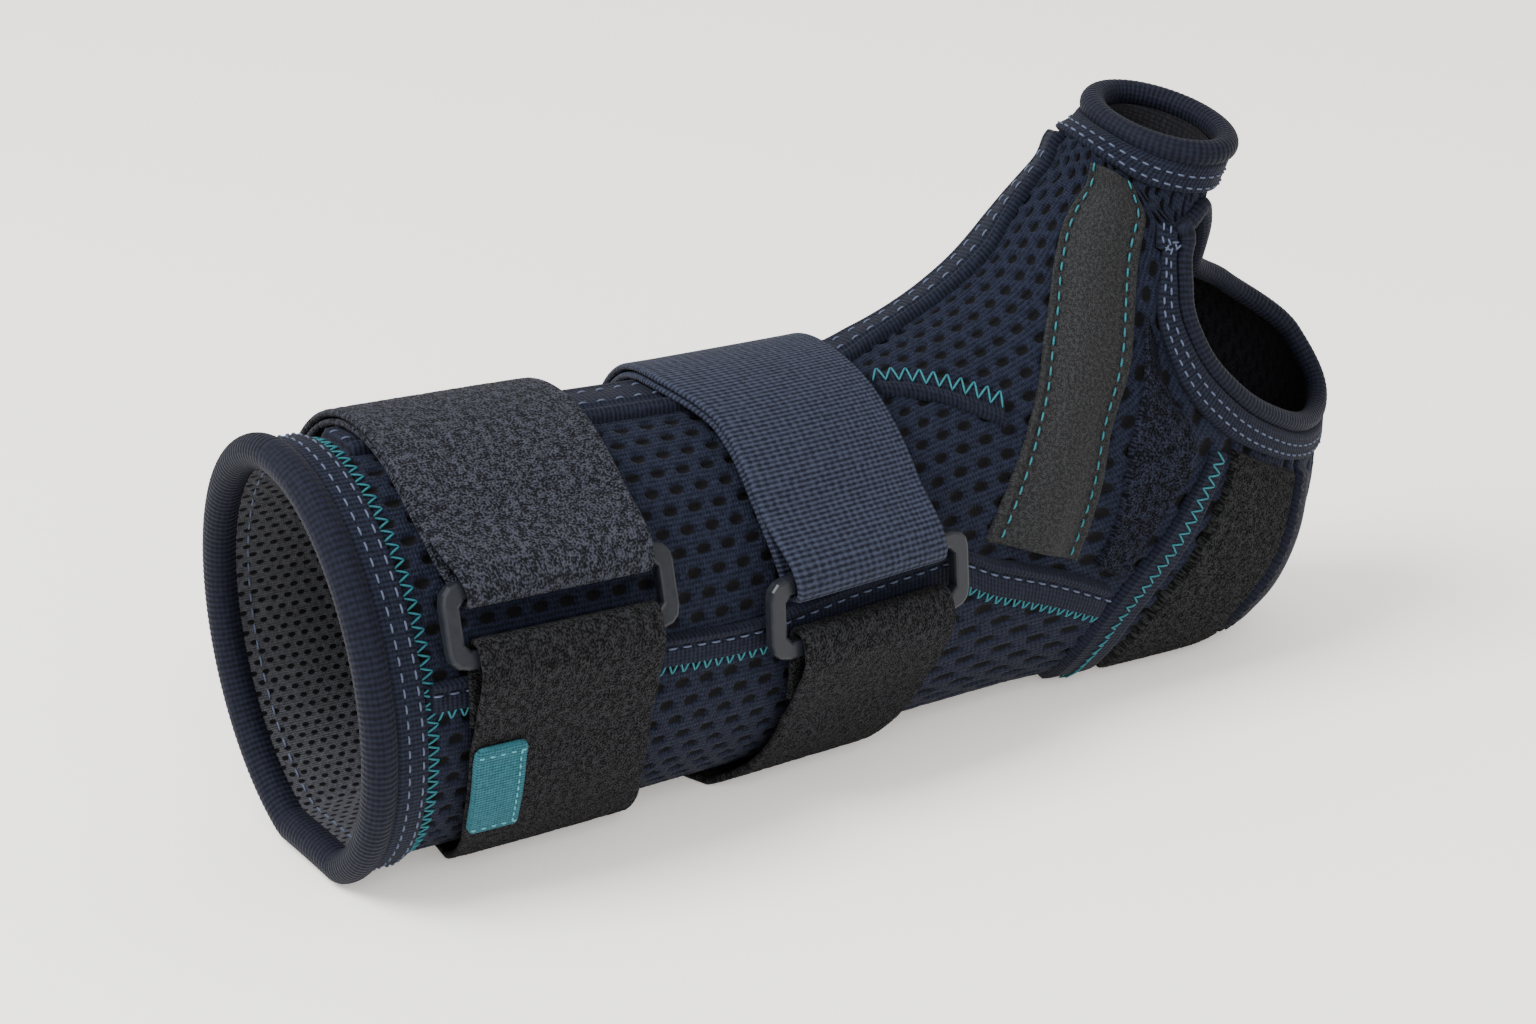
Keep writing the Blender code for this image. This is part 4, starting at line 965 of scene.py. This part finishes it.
def strap_edges(table, angle):
    """Stations of the left and right edge of a strap at each angle."""
    fine = np.linspace(0, len(table) - 1, STRAP_FINE)
    angles, left, right = (along(values, fine) for values in zip(*table))
    return np.interp(angle, angles, left), np.interp(angle, angles, right)


def degree_length(table, angle):
    """Length of one degree round the body at the height of the ring."""
    left, right = strap_edges(table, angle)
    middle = (left + right) / 2
    step = body_point(middle, angle + 1, RING_LEVEL) - body_point(middle, angle - 1, RING_LEVEL)
    return np.linalg.norm(step) / 2


def onto_bar(ease, shares, level):
    """Distances from a bar and heights of a strap that rises from its resting level onto the bar."""
    return [(way * ease, level + lift * (BAR_TOP - level)) for way, lift in shares]


def fold():
    """Middle line round a ring bar, from over it to under it: a half turn of two quarter ellipses."""
    radius = RING_BAR / 2 + RING_CLEARANCE + STRAP / 2
    turn = np.linspace(0, np.pi, FOLD_STEPS)
    reach = np.where(turn < np.pi / 2, BAR_TOP - RING_LEVEL, RING_LEVEL - STRAP_RISE - STRAP / 2)
    return list(zip(-radius * np.sin(turn), RING_LEVEL + reach * np.cos(turn)))


def bar_angles(table, ring_angle):
    """Angles of the upper and the lower bar of a ring."""
    reach = (RING_HEIGHT - RING_BAR) / 2 / degree_length(table, ring_angle)
    return ring_angle - reach, ring_angle + reach


def strap_piece(name, path, table, rough, look):
    """A strap along a path of (angle, height, metres per degree) rows, with rounded edges and nap. The
    path is a monotone cubic through its rows; the section runs over the top and back underneath."""
    rows = np.array(path)
    place = np.linspace(0, len(rows) - 1, PATH_FINE)
    fine = np.stack([along(rows[:, 0] * rows[:, 2], place), along(rows[:, 1], place)], -1)
    gone = travelled(fine)
    wanted = np.linspace(0, gone[-1], int(gone[-1] / STRAP_ROW))
    flat = np.stack([np.interp(wanted, gone, fine[:, i]) for i in (0, 1)], -1)
    scale = rows[0, 2]
    tangent = unit(np.gradient(flat, axis=0))
    normal = np.stack([-tangent[:, 1], tangent[:, 0]], -1) * STRAP / 2
    round_edge = np.linspace(0, np.pi / 2, EDGE_ROWS + 1)[:-1]
    inset = (1 - np.cos(round_edge)) * EDGE_SHARE
    share = np.concatenate([inset, np.linspace(EDGE_SHARE, 1 - EDGE_SHARE, FLAT_ROWS), 1 - inset[::-1]])
    lift = np.concatenate([np.sin(round_edge), np.ones(FLAT_ROWS), np.sin(round_edge)[::-1]])
    left, right = strap_edges(table, flat[:, 0] / scale)
    station = left[:, None] * (1 - share) + right[:, None] * share
    nap_height = rough * np.random.default_rng(len(name)).uniform(-1, 1, station.shape) * (lift > 0.99)
    layout = np.stack(np.broadcast_arrays(wanted[:, None], share * STRAP_LAYOUT_WIDTH), -1)
    middle = body_point(station, flat[:, 0, None] / scale, flat[:, 1, None])
    grids = []
    for sign in (1, -1):
        moved = flat[:, None] + normal[:, None] * (sign * lift[:, None])
        height = moved[..., 1] + sign * nap_height * np.where(normal[:, 1] >= 0, 1, -1)[:, None]
        points = body_point(station, moved[..., 0] / scale, height)
        grids.append((points, points + (points - middle), layout, None))
    top, bottom = grids[0][0], grids[1][0]
    for row, next_row in ((0, 1), (-1, -2)):
        cap = np.stack([top[row], bottom[row]])
        grids.append((cap, cap - (top[next_row] - top[row]), np.stack([layout[row], layout[row]]), None))
    return grid_object(name, grids, look)


def upper_path(table, ring_angle):
    """The strap over the upper crest: a free end on top, a fold round the bar, a layer sewn far round."""
    scale = degree_length(table, ring_angle)
    bar = bar_angles(table, ring_angle)[0]
    upper = SECOND_RISE + STRAP / 2
    lower = STRAP_RISE + STRAP / 2
    start = bar - UPPER_EASE / scale
    path = [(angle, upper, scale) for angle in np.arange(STRAP_FREE_END, start - STRAP_STEP / 2, STRAP_STEP)]
    turned = onto_bar(UPPER_EASE, UPPER_ONTO_BAR, upper) + fold()
    path += [(bar - way / scale, height, scale) for way, height in turned]
    path += [(angle, lower, scale) for angle in np.arange(bar - STRAP_STEP, STRAP_SEAM, -STRAP_STEP)]
    return path + [(STRAP_SEAM, lower, scale)]


def lower_path(table, ring_angle):
    """The strap under the body: a short tail behind the bar, a fold round it and a run up the far side."""
    scale = degree_length(table, ring_angle)
    bar = bar_angles(table, ring_angle)[1]
    lower = STRAP_RISE + STRAP / 2
    seam = 360 + STRAP_SEAM - LAYER_GAP / scale * 2
    first = bar + LOWER_EASE / scale
    path = [(angle, lower, scale) for angle in np.arange(seam, first + STRAP_STEP / 2, -STRAP_STEP)]
    turned = onto_bar(LOWER_EASE, LOWER_ONTO_BAR, lower) + fold()
    path += [(bar + way / scale, height, scale) for way, height in turned]
    return path + [(bar + TAIL / 2 / scale, lower, scale), (bar + TAIL / scale, lower, scale)]


webbing = rib_relief("webbing ribs", 0.0010, 0.0016, 0.35)
loop_look = cloth_look("strap_loop", nap, (0.0030, 0.0034, 0.0056), (0.0400, 0.0435, 0.0590), 0.9, 0.0006)
web_look = cloth_look("webbing", webbing, (0.0042, 0.0054, 0.0112), (0.0300, 0.0360, 0.0600), 0.8, 0.0004)
dark_nap = cloth_look("dark_nap", nap, (0.0005, 0.0005, 0.0008), (0.0200, 0.0205, 0.0240), 0.95, 0.0009)
for name, table, ring_angle, over_look, rough in (
    ("cuff_strap", CUFF_STRAP, CUFF_RING_ANGLE, loop_look, LOOP_NAP),
    ("wrist_strap", WRIST_STRAP, WRIST_RING_ANGLE, web_look, 0.0),
):
    over = strap_piece(name + "_over", upper_path(table, ring_angle), table, rough, over_look)
    stands_for(over, name + "_upper")
    under = strap_piece(name + "_under", lower_path(table, ring_angle), table, UNDER_NAP, dark_nap)
    stands_for(under, name + "_lower")

# Rings
# Two-bar rings moulded of satin charcoal plastic, held by the folds of the straps. They keep their CAD
# nodes.
ring_look, ring_tree, ring_shader = new_look("ring_plastic", {"Specular IOR Level": 0.22})
ring_place = ring_tree.nodes.new("ShaderNodeTexCoord").outputs["Object"]
ring_grain = noise_node(ring_tree, ring_place, 900.0, 3.0)
ring_colour = colour_ramp(ring_tree, ring_grain, (0.006, 0.007, 0.010), (0.014, 0.016, 0.021))
ring_tree.links.new(ring_colour, ring_shader.inputs["Base Color"])
ring_roughness = maths(ring_tree, "MULTIPLY_ADD", ring_grain, 0.15, 0.28)
ring_tree.links.new(ring_roughness, ring_shader.inputs["Roughness"])
for node in ("cuff_strap_ring", "wrist_strap_ring"):
    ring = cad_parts[node]
    ring.data.materials.clear()
    ring.data.materials.append(ring_look)

# Pull tab
# A small plain tab woven of teal yarn, laid on the cuff's lower strap and sewn down along three of its
# sides.
TAB_ANGLE = 113.5
TAB_LENGTH = 0.021
TAB_WIDTH = 0.0105
TAB_CORNER = 0.0016
TAB_CLEARANCE = 0.0005
TAB_EDGE = 0.0004
TAB_STITCH = (0.0015, 0.0010)
TAB_THREAD = (0.06, 0.27, 0.31)
ROW_POINTS = 60


def tab_place(along_way, across_way):
    """Station, angle and height of a point on the tab, from shares along its length and width: it lies a
    clearance over the lower strap's rise onto its bar."""
    scale = degree_length(CUFF_STRAP, TAB_ANGLE)
    angle = TAB_ANGLE + (along_way - 0.5) * TAB_LENGTH / scale
    left, right = strap_edges(CUFF_STRAP, angle)
    width = np.linalg.norm(body_point(right, angle) - body_point(left, angle), axis=-1)
    station = left + (right - left) * TAB_WIDTH / width * across_way
    below = onto_bar(LOWER_EASE, LOWER_ONTO_BAR, STRAP_RISE + STRAP / 2)[::-1]
    way = (angle - bar_angles(CUFF_STRAP, CUFF_RING_ANGLE)[1]) * scale
    rise = np.interp(way, [row[0] for row in below], [row[1] for row in below]) + STRAP / 2 + TAB_CLEARANCE
    return station, angle, rise + TAPE


u, v = np.meshgrid(np.linspace(0, 1, 90), np.linspace(0, 1, 50), indexing="ij")
du, dv = np.minimum(u, 1 - u) * TAB_LENGTH, np.minimum(v, 1 - v) * TAB_WIDTH
corner = np.clip(1 - du / TAB_CORNER, 0, 1)
rounded_v = 0.5 + (v - 0.5) * (1 - 2 * TAB_CORNER / TAB_WIDTH * (1 - np.sqrt(1 - corner**2)))
tab_s, tab_a, tab_level = tab_place(u, rounded_v)
edge = np.clip(np.minimum(du, dv) / TAB_EDGE, 0, 1)
tab_h = tab_level - TAPE * (1 - np.sqrt(1 - (1 - edge) ** 2))
tab_layout = np.stack([u * TAB_LENGTH, rounded_v * TAB_WIDTH], -1)
tab_weave = rib_relief("tab weave", 0.0006, 0.0006, 0.3)
tab_look = cloth_look("tab", tab_weave, (0.0070, 0.0400, 0.0530), (0.0230, 0.1080, 0.1350), 0.75, 0.00015)
stands_for(grid_object("woven_tab", [cloth_grid(tab_s, tab_a, tab_h, tab_layout)], tab_look), "pull_tab")
line = np.linspace(0.1, 0.9, ROW_POINTS)
tab_rows = [
    dashed(*tab_place(np.full(ROW_POINTS, 0.08), line), *TAB_STITCH),
    dashed(*tab_place(line, np.full(ROW_POINTS, 0.86)), *TAB_STITCH),
    dashed(*tab_place(np.full(ROW_POINTS, 0.92), line), *TAB_STITCH),
]
dashes("tab_stitches", tab_rows, thread_look("tab_thread", TAB_THREAD))

# Stage
# A pale plain table under a large soft light from the upper left, seen from the photo's place.
FLOOR_LEVEL = -0.0002
CAMERA_PLACE = (-0.34862, -0.52176, 0.29736)
CAMERA_AIM = (-0.01343, 0.00236, 0.0460)
LAMP_AIM = (0, 0, 0.05)

floor_look, _, _ = new_look("table", {
    "Base Color": (0.95, 0.935, 0.91, 1.0),
    "Roughness": 0.8,
    "Emission Color": (1.0, 0.95, 0.89, 1.0),
    "Emission Strength": 0.35,
})
floor_mesh = bpy.data.meshes.new("table")
floor_corners = [(x, y, FLOOR_LEVEL) for x, y in ((-4, -4), (4, -4), (4, 6), (-4, 6))]
floor_mesh.from_pydata(floor_corners, [], [(0, 1, 2, 3)])
floor_mesh.materials.append(floor_look)
floor = bpy.data.objects.new("table", floor_mesh)
bpy.context.scene.collection.objects.link(floor)

world = bpy.data.worlds.new("studio")
world.use_nodes = True
world.node_tree.nodes["Background"].inputs[0].default_value = (1.0, 0.985, 0.965, 1.0)
world.node_tree.nodes["Background"].inputs[1].default_value = 1.2
bpy.context.scene.world = world

for name, place, size, power in (
    ("key", (-1.0, 0.1, 1.3), 0.8, 42.0),
    ("fill", (-0.2, -1.3, 0.9), 1.0, 12.0),
):
    light = bpy.data.lights.new(name, "AREA")
    light.size = size
    light.energy = power
    lamp = bpy.data.objects.new(name, light)
    lamp.location = place
    lamp.rotation_euler = (Vector(LAMP_AIM) - Vector(place)).to_track_quat("-Z", "Y").to_euler()
    bpy.context.scene.collection.objects.link(lamp)

camera = bpy.data.cameras.new("photo")
camera.lens = 85.0
camera.sensor_width = 36.0
viewer = bpy.data.objects.new("photo", camera)
viewer.location = CAMERA_PLACE
aim = Vector(CAMERA_AIM) - viewer.location
viewer.rotation_euler = aim.to_track_quat("-Z", "Y").to_euler()
bpy.context.scene.collection.objects.link(viewer)
bpy.context.scene.camera = viewer
